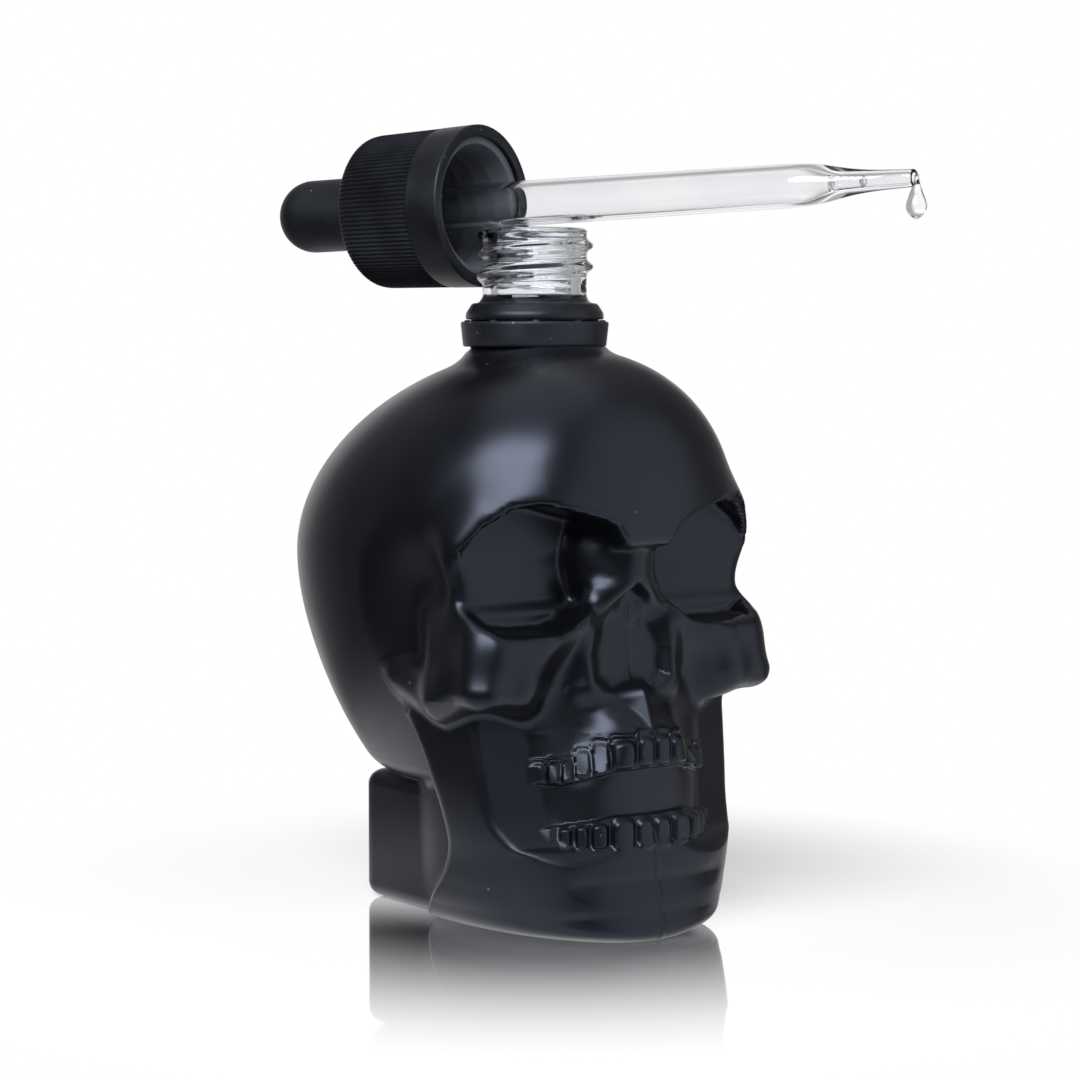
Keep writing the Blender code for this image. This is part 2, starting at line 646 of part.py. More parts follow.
def build_dropper():
    """The closure, every piece turned about one shared axis whose Z points to the tip."""
    rest_drop = math.sin(dropper_rise) * 0.5 * neck_diameter
    height = bottle_height + rest_gap + rest_drop + 0.5 * pipette_diameter
    axis = bpy.data.objects.new("dropper_axis", None)
    bpy.context.scene.collection.objects.link(axis)
    heading = Matrix.Rotation(dropper_bearing, 4, "Z")
    tip_over = Matrix.Rotation(0.5 * math.pi - dropper_rise, 4, "X")
    axis.matrix_world = Matrix.Translation((0.0, 0.0, height)) @ heading @ tip_over

    rim = -cap_rim_setback
    end = rim - shell_length
    hole = 0.5 * bulb_diameter + running_gap
    outer_rim = 0.5 * shell_rim_diameter
    outer_end = 0.5 * shell_end_diameter
    bore_rim = outer_rim - shell_wall
    bore_end = outer_end - shell_wall
    lip = bore_rim - 2.0 * running_gap
    cap_rim = rim - inner_cap_recess
    shell = [(hole, end + shell_wall), (hole, end)]
    shell += arc(outer_end - shell_corner, end + shell_corner, shell_corner, -90.0, 0.0, 4)
    shell += [
        (outer_rim, rim - inner_cap_recess),
        (outer_rim, rim),
        (lip, rim),
        (lip, cap_rim + running_gap),
        (bore_rim, cap_rim + running_gap),
        (bore_end, end + shell_wall),
    ]
    lathe("outer_shell", shell, round_sides, (0.012, 0.012, 0.013, 1.0), 0.5, axis)

    cap_end_level = end + shell_wall + push_travel
    ceiling = cap_end_level + inner_cap_wall
    skirt_rim = bore_rim - running_gap
    skirt_end = bore_end - running_gap
    cap = [
        (hole, ceiling),
        (hole, cap_end_level),
        (skirt_end, cap_end_level),
        (skirt_rim, cap_rim),
        (skirt_rim - inner_cap_wall, cap_rim),
        (skirt_end - inner_cap_wall, ceiling),
    ]
    lathe("inner_cap", cap, round_sides, (0.010, 0.010, 0.011, 1.0), 0.5, axis)

    bulb = 0.5 * bulb_diameter
    room = bulb - bulb_wall
    dome = end - bulb_reach + bulb
    flange_top = ceiling + running_gap
    flange_foot = flange_top + bulb_flange_height
    outer_dome = arc(0.0, dome, bulb, -90.0, 0.0, 6)
    inner_dome = arc(0.0, dome, room, 0.0, -90.0, 5)
    outer_dome[0] = (0.0, dome - bulb)
    inner_dome[-1] = (0.0, dome - room)
    spigot = 0.5 * pipette_diameter
    teat = outer_dome + [
        (bulb, flange_top),
        (0.5 * bulb_flange_diameter, flange_top),
        (0.5 * bulb_flange_diameter, flange_foot),
        (spigot + running_gap, flange_foot),
    ] + inner_dome
    lathe("rubber_bulb", teat, small_sides, (0.014, 0.014, 0.015, 1.0), 0.6, axis)

    bore = spigot - pipette_wall
    shoulder = 0.5 * pipette_shoulder_diameter
    throat = 0.5 * pipette_throat_diameter
    tip = 0.5 * pipette_tip_diameter
    tip_bore = 0.5 * pipette_tip_bore
    flange_face = flange_foot + running_gap
    neck_down = 0.5 * (pipette_straight_reach + pipette_throat_reach)
    waist = 0.5 * (shoulder + throat)
    tube = [
        (spigot, flange_face - pipette_spigot_height),
        (spigot, flange_face),
        (0.5 * pipette_flange_diameter, flange_face),
        (0.5 * pipette_flange_diameter, flange_face + pipette_flange_height),
        (spigot, flange_face + pipette_flange_height),
        (shoulder, pipette_straight_reach),
        (waist, neck_down),
        (throat, pipette_throat_reach),
        (tip, pipette_reach),
        (tip_bore, pipette_reach),
        (throat - pipette_wall, pipette_throat_reach),
        (waist - pipette_wall, neck_down),
        (shoulder - pipette_wall, pipette_straight_reach - pipette_wall),
        (bore, flange_face - pipette_spigot_height),
    ]
    lathe("glass_pipette", tube, small_sides, (0.75, 0.80, 0.82, 1.0), 0.05, axis)
    return axis


def main():
    for item in list(bpy.data.objects):
        bpy.data.objects.remove(item)
    build_bottle()
    build_band()
    build_dropper()


main()
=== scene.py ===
"""Skull bottle with a dropper closure laid across its clear screw neck."""
import math

import bmesh
import bpy
import numpy as np
from mathutils import Matrix, Vector


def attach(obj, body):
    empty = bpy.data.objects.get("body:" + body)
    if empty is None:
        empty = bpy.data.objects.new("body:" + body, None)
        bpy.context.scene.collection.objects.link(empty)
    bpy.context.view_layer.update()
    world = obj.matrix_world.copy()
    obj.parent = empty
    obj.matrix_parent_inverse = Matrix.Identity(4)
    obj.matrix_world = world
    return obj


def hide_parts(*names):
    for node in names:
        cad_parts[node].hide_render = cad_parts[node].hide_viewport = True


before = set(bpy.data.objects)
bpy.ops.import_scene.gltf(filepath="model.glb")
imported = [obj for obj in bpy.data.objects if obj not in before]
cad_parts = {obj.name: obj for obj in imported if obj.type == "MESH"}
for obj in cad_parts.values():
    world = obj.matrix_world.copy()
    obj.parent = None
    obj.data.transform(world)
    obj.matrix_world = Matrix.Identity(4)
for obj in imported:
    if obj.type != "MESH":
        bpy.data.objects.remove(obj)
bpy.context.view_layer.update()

MM = 0.001
MERGE_DISTANCE = 1e-7
# corners of a turned profile: rounding of a sharp one, and the most of a stretch it takes
SHARP_ROUNDING = 0.03
ROUNDING_SHARE = 0.45
TURN = 2.0 * math.pi
# edges sharper than this are shaded as edges, degrees
CREASE = 50.0
RIB_CREASE = 55.0
GLASS_CREASE = 60.0

# camera, millimetres and degrees
CAMERA_AZIMUTH = -37.0
CAMERA_DISTANCE = 430.0
CAMERA_HEIGHT = 87.2
CAMERA_TILT = 4.08
CAMERA_LENS = 94.37
CAMERA_SENSOR = 36.0
CAMERA_SHIFT = 0.0049

# bottle, millimetres
LIP_LEVEL = 103.7
NECK_RADIUS = 7.9
NECK_FOOT_RADIUS = 9.75
NECK_FOOT_LEVEL = 85.6
BORE_RADIUS = 5.8
COAT_TOP = 89.90
GLASS_FOOT = 89.92
BEAD_FOOT = 90.0
BEAD_RADIUS = 10.45
BEAD_TOP_RADIUS = 9.5
BEAD_TOP = 92.4
GLASS_WALL = 3.4
THREAD_START = 94.8
THREAD_START_ANGLE = math.radians(-37.0)
THREAD_PITCH = 3.17
THREAD_TURNS = 2.55
THREAD_HEIGHT = 0.98
THREAD_WIDTH = 0.78
THREAD_POWER = 2.6
THREAD_FADE = 0.10

BAND_TOP = 89.7
BAND_HEIGHT = 3.8
BAND_INSIDE = 10.05
BAND_TOP_RADIUS = 11.25
BAND_FOOT_RADIUS = 10.85
STUB_COUNT = 10
STUB_WIDTH = 0.55
STUB_HEIGHT = 0.22

# closure, millimetres
DROPPER_HEIGHT = 107.6068
DROPPER_BEARING = math.radians(18.4)
DROPPER_RISE = math.radians(1.5)
RIM = -9.45
SHELL_END = -29.15
SHELL_RIM_RADIUS = 12.4
SHELL_END_RADIUS = 11.9
SHELL_WALL = 1.2
SHELL_LIP_RADIUS = 10.6
SHELL_ROOM_RADIUS = 11.2
SHELL_CORNER = 1.5
RIB_COUNT = 108
RIB_COLUMNS = 8
RIB_DEPTH = 0.30
RIB_POWER = 1.5
RIB_INSET = 0.04
RIB_END = -15.4
CAP_RIM = -10.35
CAP_END = -27.45
CAP_CEILING = -26.05
CAP_RIM_RADIUS = 10.9
CAP_END_RADIUS = 10.4
CAP_WALL = 1.4
CAP_THREAD_START = 3.0
CAP_THREAD_WIDTH = 0.6
CAP_THREAD_POWER = 2.4
CAP_THREAD_HEIGHT = 0.12
STEM_HOLE = 6.0
BULB_RADIUS = 5.7
BULB_DOME = -42.45
BULB_WALL = 1.6
BULB_FLANGE_RADIUS = 8.6
BULB_FLANGE_TOP = -25.75
BULB_FLANGE_FOOT = -24.15
PIPETTE_RADIUS = 3.5
SPIGOT_TOP = -28.85
PIPETTE_FLANGE_TOP = -23.85
PIPETTE_FLANGE_FOOT = -22.85
PIPETTE_FLANGE_RADIUS = 6.5
PIPETTE_TIP = 63.7

# floor: its size in millimetres, then distances from the middle in metres between which its
# light, its reflected light and its mirror fade
FLOOR_RADIUS = 170.0
FLOOR_SIDES = 96
FLOOR_GAP = 0.1
FLOOR_LIGHT_FADE = (0.045, 0.110)
FLOOR_GLOSS_FADE = (0.055, 0.115)
FLOOR_MIRROR_FADE = (0.018, 0.098)
FLOOR_MIRROR_SIDE = (-0.02, 0.02)
FLOOR_MIRROR_FACING = (0.45, 0.72)

# softbox: bearing and height in degrees, distance, size and aim in metres, power in watts
SOFTBOX_BEARING = -61.0
SOFTBOX_RISE = 36.0
SOFTBOX_DISTANCE = 0.55
SOFTBOX_SIZE = (0.52, 0.26)
SOFTBOX_AIM = (0.0, 0.0, 0.055)
SOFTBOX_POWER = 4.2

# how bright the empty studio is for diffuse light, and at least for light through glass
STUDIO_FILL = 0.40
STUDIO_GLASS = 0.42


# small tools

def linear(code):
    """An sRGB hex colour as linear light, opaque."""
    parts = [int(code[i:i + 2], 16) / 255.0 for i in (1, 3, 5)]
    curve = [v / 12.92 if v <= 0.04045 else ((v + 0.055) / 1.055) ** 2.4 for v in parts]
    return (*curve, 1.0)


def add(tree, kind, settings=None, links=None):
    """A node with its attributes, socket values and links.

    Settings name an attribute, or a socket by name or number; links give the socket of
    this node and the socket that feeds it.
    """
    node = tree.nodes.new(kind)
    for key, value in (settings or {}).items():
        if isinstance(key, str) and hasattr(node, key):
            setattr(node, key, value)
        else:
            node.inputs[key].default_value = value
    for key, source in (links or {}).items():
        tree.links.new(source, node.inputs[key])
    return node


def ramp(tree, source, stops, interpolation="EASE"):
    """A colour ramp fed by one value; stops are places and sRGB hex colours."""
    node = add(tree, "ShaderNodeValToRGB", links={0: source})
    node.color_ramp.interpolation = interpolation
    marks = node.color_ramp.elements
    while len(marks) < len(stops):
        marks.new(1.0)
    for mark, (place, code) in zip(marks, stops):
        mark.position = place
        mark.color = linear(code)
    return node


def spread(tree, source, low, high, to_low, to_high):
    """A value carried from one range to another by a smooth step."""
    settings = {"interpolation_type": "SMOOTHSTEP", 1: low, 2: high, 3: to_low, 4: to_high}
    return add(tree, "ShaderNodeMapRange", settings, {0: source}).outputs[0]


def cells(size):
    """A pattern's scale, in cells for each metre, from the size of one cell in millimetres."""
    return 1.0 / (size * MM)


def new_material(name):
    """A material with its tree, its Principled shader and its Object coordinates."""
    material = bpy.data.materials.new(name)
    material.use_nodes = True
    tree = material.node_tree
    shader = tree.nodes["Principled BSDF"]
    place = add(tree, "ShaderNodeTexCoord").outputs["Object"]
    return material, tree, shader, place


def smooth_step(low, high, value):
    """Nought below low, one above high, and between them the cubic with flat ends."""
    t = np.clip((value - low) / (high - low), 0.0, 1.0)
    return t * t * (3.0 - 2.0 * t)


def smooth_line(value, places, values):
    """A smooth curve through given values: cubic stretches that share their slopes.

    The slope at a place is the mean of the straight slopes to either side of it, and past
    the first and last place the value stays as it is there.
    """
    places = np.array(places)
    values = np.array(values)
    step = np.diff(places)
    rise = np.diff(values) / step
    slope = np.concatenate([rise[:1], 0.5 * (rise[1:] + rise[:-1]), rise[-1:]])
    value = np.clip(value, places[0], places[-1])
    k = np.clip(np.searchsorted(places, value, "right") - 1, 0, len(step) - 1)
    t = (value - places[k]) / step[k]
    u = 1.0 - t
    ends = u * u * (1.0 + 2.0 * t) * values[k] + t * t * (1.0 + 2.0 * u) * values[k + 1]
    return ends + step[k] * t * u * (u * slope[k] - t * slope[k + 1])


def piece(name, points, material, body, nodes=(), closed_rows=False, closed_ends=False):
    """A mesh from a grid of points in millimetres.

    Rows follow each other along the first index and close on themselves along the
    second.  closed_rows joins the last row to the first; closed_ends fans the first and the
    last row to their middles.  Points that coincide are merged and faces turned outwards.
    """
    rows, columns = points.shape[:2]
    flat = points.reshape(-1, 3)
    a = np.arange(rows if closed_rows else rows - 1)[:, None] * columns
    b = (np.arange(1, (rows if closed_rows else rows - 1) + 1) % rows)[:, None] * columns
    j = np.arange(columns)[None, :]
    k = (j + 1) % columns
    faces = np.stack([a + j, a + k, b + k, b + j], -1).reshape(-1, 4)
    p, q, r, s = (flat[faces[:, i]] for i in range(4))
    volume = np.einsum("ij,ij->i", p, np.cross(q, r) + np.cross(r, s)).sum()
    face_list = faces.tolist()
    extra = []
    ends = ((0, 1), ((rows - 1) * columns, -1)) if closed_ends else ()
    for first, turn in ends:
        middle = len(flat) + len(extra)
        extra.append(flat[first:first + columns].mean(0))
        ring = first + np.arange(columns)
        fan = np.stack([np.full(columns, middle), np.roll(ring, -1), ring], -1)
        face_list += fan[:, ::turn].tolist()
    vertices = np.concatenate([flat, extra]) if extra else flat
    if volume < 0.0:
        face_list = [f[::-1] for f in face_list]
    mesh = bpy.data.meshes.new(name)
    mesh.from_pydata((vertices * MM).tolist(), [], face_list)
    work = bmesh.new()
    work.from_mesh(mesh)
    bmesh.ops.remove_doubles(work, verts=work.verts, dist=MERGE_DISTANCE)
    bmesh.ops.dissolve_degenerate(work, edges=work.edges, dist=MERGE_DISTANCE)
    work.to_mesh(mesh)
    work.free()
    mesh.polygons.foreach_set("use_smooth", [True] * len(mesh.polygons))
    mesh.materials.append(material)
    item = bpy.data.objects.new(name, mesh)
    bpy.context.scene.collection.objects.link(item)
    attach(item, body)
    if nodes:
        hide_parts(*nodes)
    return item


def creased(item, degrees):
    """Edges sharper than an angle are shaded as edges."""
    mesh = item.data
    work = bmesh.new()
    work.from_mesh(mesh)
    limit = math.radians(degrees)
    for edge in work.edges:
        edge.smooth = edge.calc_face_angle(math.pi) < limit
    work.to_mesh(mesh)
    work.free()


def field_normals(item):
    """Shading normals from the field's gradient where the surface lies on the field."""
    mesh = item.data
    count = len(mesh.vertices)
    place = np.empty(3 * count)
    own = np.empty(3 * count)
    mesh.vertices.foreach_get("co", place)
    mesh.vertices.foreach_get("normal", own)
    place = place.reshape(-1, 3) / MM
    own = own.reshape(-1, 3)
    value, slope = field_slope(place)
    length = np.sqrt((slope ** 2).sum(-1))
    on_field = (np.abs(value) < FIELD_REACH) & (length > SLOPE_LEAST)
    on_field &= place[:, 2] < NECK_FOOT_LEVEL - 1.0
    own[on_field] = slope[on_field] / length[on_field, None]
    mesh.normals_split_custom_set_from_vertices(own.tolist())


def turned(radius, height, columns, wobble=None):
    """Points of a turned form: each profile point carried once round local Z.

    wobble adds to the radius, as a function of the angle and the height.
    """
    angle = np.linspace(0.0, TURN, columns, endpoint=False)
    r = np.repeat(np.asarray(radius, float)[:, None], columns, 1)
    z = np.repeat(np.asarray(height, float)[:, None], columns, 1)
    t = np.repeat(angle[None, :], len(r), 0)
    if wobble is not None:
        r = r + wobble(t, z, r)
    return np.stack([r * np.cos(t), r * np.sin(t), z], -1)


def profile(corners, step, rounding=0.12, sharp=()):
    """A closed profile through corners, its stretches cut to a step length.

    Each corner becomes a short quadratic curve that leaves one stretch and joins the next.
    """
    corners = np.array(corners, float)
    count = len(corners)
    out = []
    for i in range(count):
        here = corners[i]
        before = corners[i - 1]
        after = corners[(i + 1) % count]
        lead = np.linalg.norm(here - before)
        tail = np.linalg.norm(after - here)
        wanted = SHARP_ROUNDING if i in sharp else rounding
        cut = min(wanted, ROUNDING_SHARE * lead, ROUNDING_SHARE * tail)
        start = here + (before - here) * (cut / max(lead, 1e-9))
        end = here + (after - here) * (cut / max(tail, 1e-9))
        t = np.linspace(0.0, 1.0, 5)[:, None]
        out.append((1 - t) ** 2 * start + 2 * t * (1 - t) * here + t ** 2 * end)
    path = []
    for i in range(count):
        path.append(out[i])
        a = out[i][-1]
        b = out[(i + 1) % count][0]
        cuts = int(np.linalg.norm(b - a) / step)
        if cuts > 1:
            t = np.linspace(0.0, 1.0, cuts + 1)[1:-1, None]
            path.append(a + (b - a) * t)
    return np.concatenate(path)


DROPPER = (Matrix.Translation((0.0, 0.0, DROPPER_HEIGHT))
           @ Matrix.Rotation(DROPPER_BEARING, 4, "Z")
           @ Matrix.Rotation(0.5 * math.pi - DROPPER_RISE, 4, "X"))


def laid(points):
    """Points of the closure's own axis carried to where the closure lies."""
    m = np.array(DROPPER)
    return points @ m[:3, :3].T + m[:3, 3]


# the skull's form

def blend_min(a, b, k):
    """The smaller of two values, rounded by a parabola where they differ by less than k."""
    h = np.clip(0.5 + 0.5 * (b - a) / k, 0.0, 1.0)
    return b + (a - b) * h - k * h * (1.0 - h)


def blend_max(a, b, k):
    """The larger of two values, rounded in the same way."""
    return -blend_min(-a, -b, k)


def egg(p, middle, radii):
    """How far a point lies outside an ellipsoid, near enough to blend with."""
    d = [p[i] - middle[i] for i in range(3)]
    q = np.sqrt(sum((d[i] / radii[i]) ** 2 for i in range(3)))
    g = np.sqrt(sum((d[i] / radii[i] ** 2) ** 2 for i in range(3)))
    return q * (q - 1.0) / np.maximum(g, 1e-9)


def rod(p, row):
    """How far a point lies outside a rod with round ends."""
    a = row[0:3]
    d = [row[3 + i] - a[i] for i in range(3)]
    t = sum((p[i] - a[i]) * d[i] for i in range(3)) / sum(v * v for v in d)
    t = np.clip(t, 0.0, 1.0)
    q = np.sqrt(sum((p[i] - a[i] - t * d[i]) ** 2 for i in range(3)))
    return q - (row[6] + (row[7] - row[6]) * t)


def block(p, low, high, rounding):
    """How far a point lies outside a block with rounded edges."""
    q = []
    for i in range(3):
        middle = 0.5 * (low[i] + high[i])
        half = 0.5 * (high[i] - low[i]) - rounding
        q.append(np.abs(p[i] - middle) - half)
    out = np.sqrt(sum(np.maximum(v, 0.0) ** 2 for v in q))
    return out + np.minimum(np.maximum(np.maximum(q[0], q[1]), q[2]), 0.0) - rounding


def plan(x, y, half, front, back, power_front, power_back, middle):
    """How far a point lies outside an egg-like outline seen from above."""
    dy = y - middle
    reach = np.where(dy < 0.0, front, back)
    power = np.where(dy < 0.0, power_front, power_back)
    s = (np.abs(x / half) ** power + np.abs(dy / reach) ** power + 1e-9) ** (1.0 / power)
    return np.sqrt(x * x + dy * dy) * (1.0 - 1.0 / s)


def outline(px, pz, corners):
    """How far a point lies outside a closed outline, negative inside."""
    nearest = np.full(px.shape, 1e9)
    inside = np.zeros(px.shape, bool)
    for i, (x0, z0) in enumerate(corners):
        x1, z1 = corners[(i + 1) % len(corners)]
        ex = x1 - x0
        ez = z1 - z0
        t = np.clip(((px - x0) * ex + (pz - z0) * ez) / (ex * ex + ez * ez), 0.0, 1.0)
        nearest = np.minimum(nearest, (px - x0 - t * ex) ** 2 + (pz - z0 - t * ez) ** 2)
        if z0 != z1:
            crosses = (z0 > pz) != (z1 > pz)
            inside ^= crosses & (px < ex * (pz - z0) / ez + x0)
    d = np.sqrt(nearest)
    return np.where(inside, -d, d)


# the brain case, and the two planes that cut the face and the lobe behind the jaw from it
CASE_MIDDLE = (0.0, 7.0, 56.0)
CASE_HALF_WIDTH = 29.7
CASE_REACH = {"front": 34.0, "back": 36.0, "up": 30.0, "down": 47.0}
CASE_LEAN_START = 44.0
CASE_LEAN = 0.0068
CASE_POWER = {"front": 2.6, "back": 2.25, "up": 2.0, "down": 1.6}
# level and rounding
CASE_UNDERSIDE = (20.0, 3.2)
FACE_CUT = {"back": -17.0, "top": 57.0, "round": 3.0, "blend": 2.0}
LOBE_CUT = {"front": -2.0, "level": 20.0, "slope": 0.05, "top": 33.5, "round": 1.5,
            "blend": 1.2}

# rods: start x y z, end x y z, start radius, end radius, blend
BROW_RODS = (
    (14.0, -19.6, 61.0, 20.6, -17.6, 59.6, 3.8, 3.3, 3.0),
    (20.6, -17.6, 59.6, 23.4, -16.4, 56.4, 3.3, 2.7, 3.0),
    (23.4, -16.4, 56.4, 22.8, -16.2, 50.0, 2.7, 2.2, 3.0),
)
BROW_BLEND = 6.0
BRIDGE_RODS = (
    (0.0, -13.6, 62.5, 0.0, -16.4, 55.5, 7.0, 7.4, 1.6),
    (0.0, -16.4, 55.5, 0.0, -19.4, 50.2, 7.4, 6.2, 2.0),
    (0.0, -22.6, 61.0, 0.0, -21.2, 51.0, 4.4, 4.2, 1.2),
    (4.2, -21.4, 50.2, 7.2, -21.0, 43.5, 1.9, 2.1, 1.8),
    (7.2, -21.0, 43.5, 7.2, -21.8, 37.0, 2.1, 2.4, 2.0),
)
CHEEK_RODS = (
    (9.0, -21.5, 46.5, 22.0, -20.5, 43.2, 2.9, 3.4, 2.2),
    (23.6, -14.0, 36.6, 23.4, -1.2, 35.4, 4.2, 3.7, 2.4),
    (14.4, -21.8, 42.4, 17.6, -21.6, 38.5, 2.8, 3.0, 3.6),
)
# blocks: low corner, high corner, rounding, blend
UPPER_JAW_BLOCK = ((-19.5, -22.8, 32.6), (19.5, 0.0, 46.5), 4.6, 4.5)
MAXILLA_BLOCK = ((-14.0, -22.6, 26.0), (14.0, 0.0, 42.0), 5.0, 4.0)
CHEEK_BLOCK = ((13.0, -25.0, 31.8), (28.9, -9.0, 50.0), 4.2, 4.5)
REAR_BLOCK = ((-15.5, -10.0, 0.0), (15.5, 24.3, 20.0), 2.4, 1.2)
REAR_CORE = ((-12.0, -6.0, 2.0), (12.0, 20.8, 32.0), 2.4, 1.2)
# the cheek leans in by a slope above a level; its lower edge rises behind a place by a
# slope, and before a place, over a reach, by a slope, and that fades out between two levels
CHEEK_SLOPE = 0.24
CHEEK_SLOPE_START = 35.5
CHEEK_REAR_LIFT = (-9.0, 0.36)
CHEEK_FRONT_LIFT = (-12.0, 6.0, 0.40)
CHEEK_LIFT_FADE = (43.0, 36.0)
# hollows: middle, radii, blend
TEMPLE_HOLLOW = ((34.0, -9.0, 46.5), (9.5, 9.0, 13.0), 6.0)
CANINE_HOLLOW = ((12.2, -28.0, 34.0), (5.6, 7.0, 9.5), 4.0)

# the arch that carries the teeth, and the keel below the nose
ARCH = {"half": 16.6, "front": 17.2, "back": 6.0, "middle": -12.0,
        "top": 36.0, "foot": 5.0, "rear": -18.3, "round": 1.4,
        "lean_start": 30.2, "lean": 1.1, "lean_reach": 6.0, "end_round": 2.0, "blend": 1.2}
ARCH_POWER = (2.6, 2.0)
KEEL = {"front": 26.5, "rise": 0.36, "level": 37.0, "reach": 9.0, "slope": 0.90,
        "half": 8.0, "top": 37.6, "foot": 28.6, "rear": -16.0, "round": 1.6, "blend": 0.8}

# teeth: edges of each tooth along the arch in degrees from the middle, its lower and
# upper level, and how far it stands out
UPPER_TEETH = (
    (0.0, 10.6, 25.0, 30.1, 1.00), (10.6, 24.4, 24.9, 29.6, 1.00),
    (24.4, 33.8, 24.0, 29.3, 0.95), (33.8, 42.5, 24.0, 28.1, 0.85),
    (42.5, 48.6, 23.1, 26.9, 0.80), (48.6, 55.8, 22.9, 26.6, 0.75),
    (55.8, 65.5, 22.9, 26.3, 0.70), (65.5, 76.0, 23.0, 26.2, 0.60),
)
LOWER_TEETH = (
    (0.0, 11.0, 12.9, 18.2, 0.90), (11.0, 24.6, 12.9, 18.5, 1.00),
    (25.6, 34.2, 13.4, 17.9, 0.95), (35.2, 41.6, 13.6, 17.5, 0.85),
    (43.0, 49.4, 13.6, 17.2, 0.85), (50.8, 58.4, 14.4, 17.2, 0.80),
    (59.8, 67.0, 14.6, 17.0, 0.70), (68.6, 75.0, 14.8, 16.8, 0.60),
)
# a tooth falls to the gum between two distances from its middle and is crowned across
TOOTH_EDGE = (0.60, 1.02)
TOOTH_CROWN = 0.16
# the arc of gum above a tooth: distance from its middle, half width and side reach
GUM_ARC_PLACE = (1.20, 0.11, 1.25)
GUM_DEPTH = -0.75
GUM_FADE = (33.0, 30.0)
GUM_ARC = 0.55
# the gap between the rows: its upper and lower edge along the arch, and its depth
GAP_ANGLES = (0.0, 22.0, 34.0, 48.0, 90.0)
GAP_TOPS = (25.0, 24.9, 24.0, 23.0, 22.9)
GAP_FEET = (18.3, 18.5, 17.8, 17.2, 17.0)
GAP_EDGE = 0.25
GAP_DEPTH = -1.55

# the lower jaw at rising levels
JAW_LEVELS = (0.0, 0.7, 1.5, 4.4, 8.0, 12.0, 16.0, 22.0, 34.0)
JAW_HALVES = (15.6, 18.2, 20.0, 22.0, 23.0, 23.7, 24.6, 25.2, 25.4)
JAW_POWERS = (2.2, 2.4, 2.6, 2.7, 2.85, 3.0, 3.0, 3.0, 3.0)
CHIN_LEVELS = (0.0, 1.0, 3.5, 7.0, 13.0)
CHIN_FRONTS = (30.1, 30.9, 30.8, 30.2, 29.4)
# the middle of the chin: relief at rising levels and how far to each side it reaches
CHIN_RELIEF_LEVELS = (2.4, 3.4, 4.0, 5.4, 6.6, 7.9, 8.7, 10.2, 12.0)
CHIN_RELIEF = (0.0, -0.10, -0.20, 0.0, 0.0, -0.28, -0.48, -0.16, 0.0)
CHIN_RELIEF_HALF = 13.5
CHIN_RELIEF_FADE = (1.15, 0.85)
# reach and power of the plan's rear half
JAW_BACK = (8.0, 2.6)
# the plane that cuts the branch in front: its distance at rising levels, and its heading
FRONT_LEVELS = (9.0, 11.5, 13.7, 14.4, 16.2, 18.2, 22.5, 31.0)
FRONT_DEPTHS = (35.0, 31.3, 28.85, 27.8, 26.5, 25.66, 24.9, 23.87)
FRONT_HEADING = (0.351, 0.936)
FRONT_ROUND = 0.9
# the branch's rear edge at rising levels, its heading and the half width where it is true
REAR_LEVELS = (0.0, 5.0, 9.7, 14.0, 18.4, 23.5, 27.5, 32.0)
REAR_EDGES = (-2.0, -5.0, -8.8, -10.3, -9.2, -6.7, -4.4, -1.0)
REAR_HEADING = (0.62, 0.78, 24.0)
JAW_ROUND = {"rear": 1.5, "top": 2.0, "foot": 0.6}
JAW_TOP = 36.0
CORE_LEVELS = (0.0, 2.0, 5.0, 10.0, 36.0)
CORE_HALVES = (14.9, 15.4, 15.9, 16.3, 17.5)
# reach in front and behind, power in front and behind
CORE_PLAN = (24.0, 12.0, 2.4, 3.0)
CORE_BLEND = 2.5
JAW_BLEND = 1.2

# eye socket and nose opening as seen from the front, x and z
ORBIT_OUTLINE = (
    (4.0, 52.0), (4.4, 57.8), (6.0, 60.2), (8.0, 61.2), (11.0, 62.0), (14.3, 62.9),
    (17.0, 63.4), (20.6, 62.7), (24.0, 60.2), (26.3, 56.8), (26.6, 51.0), (25.0, 47.2),
    (23.2, 45.6), (19.3, 45.1), (13.5, 45.1), (11.0, 45.8), (9.0, 47.3), (6.6, 49.3))
ORBIT_DEPTHS = {"floor": 17.3, "corner": 1.0, "lip": 1.0, "side_lip": 1.2}
ORBIT_SIDE = (15.0, 23.0)
ORBIT_LEDGE = {"depth": 1.1, "low": 47.2, "high": 49.9}
ORBIT_SILL = {"depth": -21.0, "slope": 0.20, "low": 46.0, "high": 50.0}
NOSE_OUTLINE = (
    (0.0, 51.4), (2.2, 49.8), (5.2, 46.0), (6.7, 41.8), (6.4, 38.0), (3.4, 36.4),
    (0.0, 37.4), (-3.4, 36.4), (-6.4, 38.0), (-6.7, 41.8), (-5.2, 46.0), (-2.2, 49.8))
NOSE_DEPTHS = {"floor": 22.2, "corner": 2.6, "lip": 1.9}
# height and half width
SEPTUM = (0.12, 0.40)
NECK_BLEND = 4.0
NECK_START = 60.0
# the mould seam down the chin: height and half width, and the levels where it runs out
SEAM = (0.12, 0.34)
SEAM_TOP = (13.0, 15.0)

# the field's gradient: step, how near the surface a point is to use it, and least length
FIELD_STEP = 0.02
FIELD_REACH = 0.05
SLOPE_LEAST = 0.2
# rays: reach, steps, then how often the last step is halved
RAY_REACH = (1.0, 52.0)
RAY_STEPS = 90
RAY_HALVINGS = 12
GRID_FULL = (300, 250, 50)
# columns stand closer at the face: shares of the even and of the cubed spacing
COLUMN_SHARES = (0.60, 0.40)
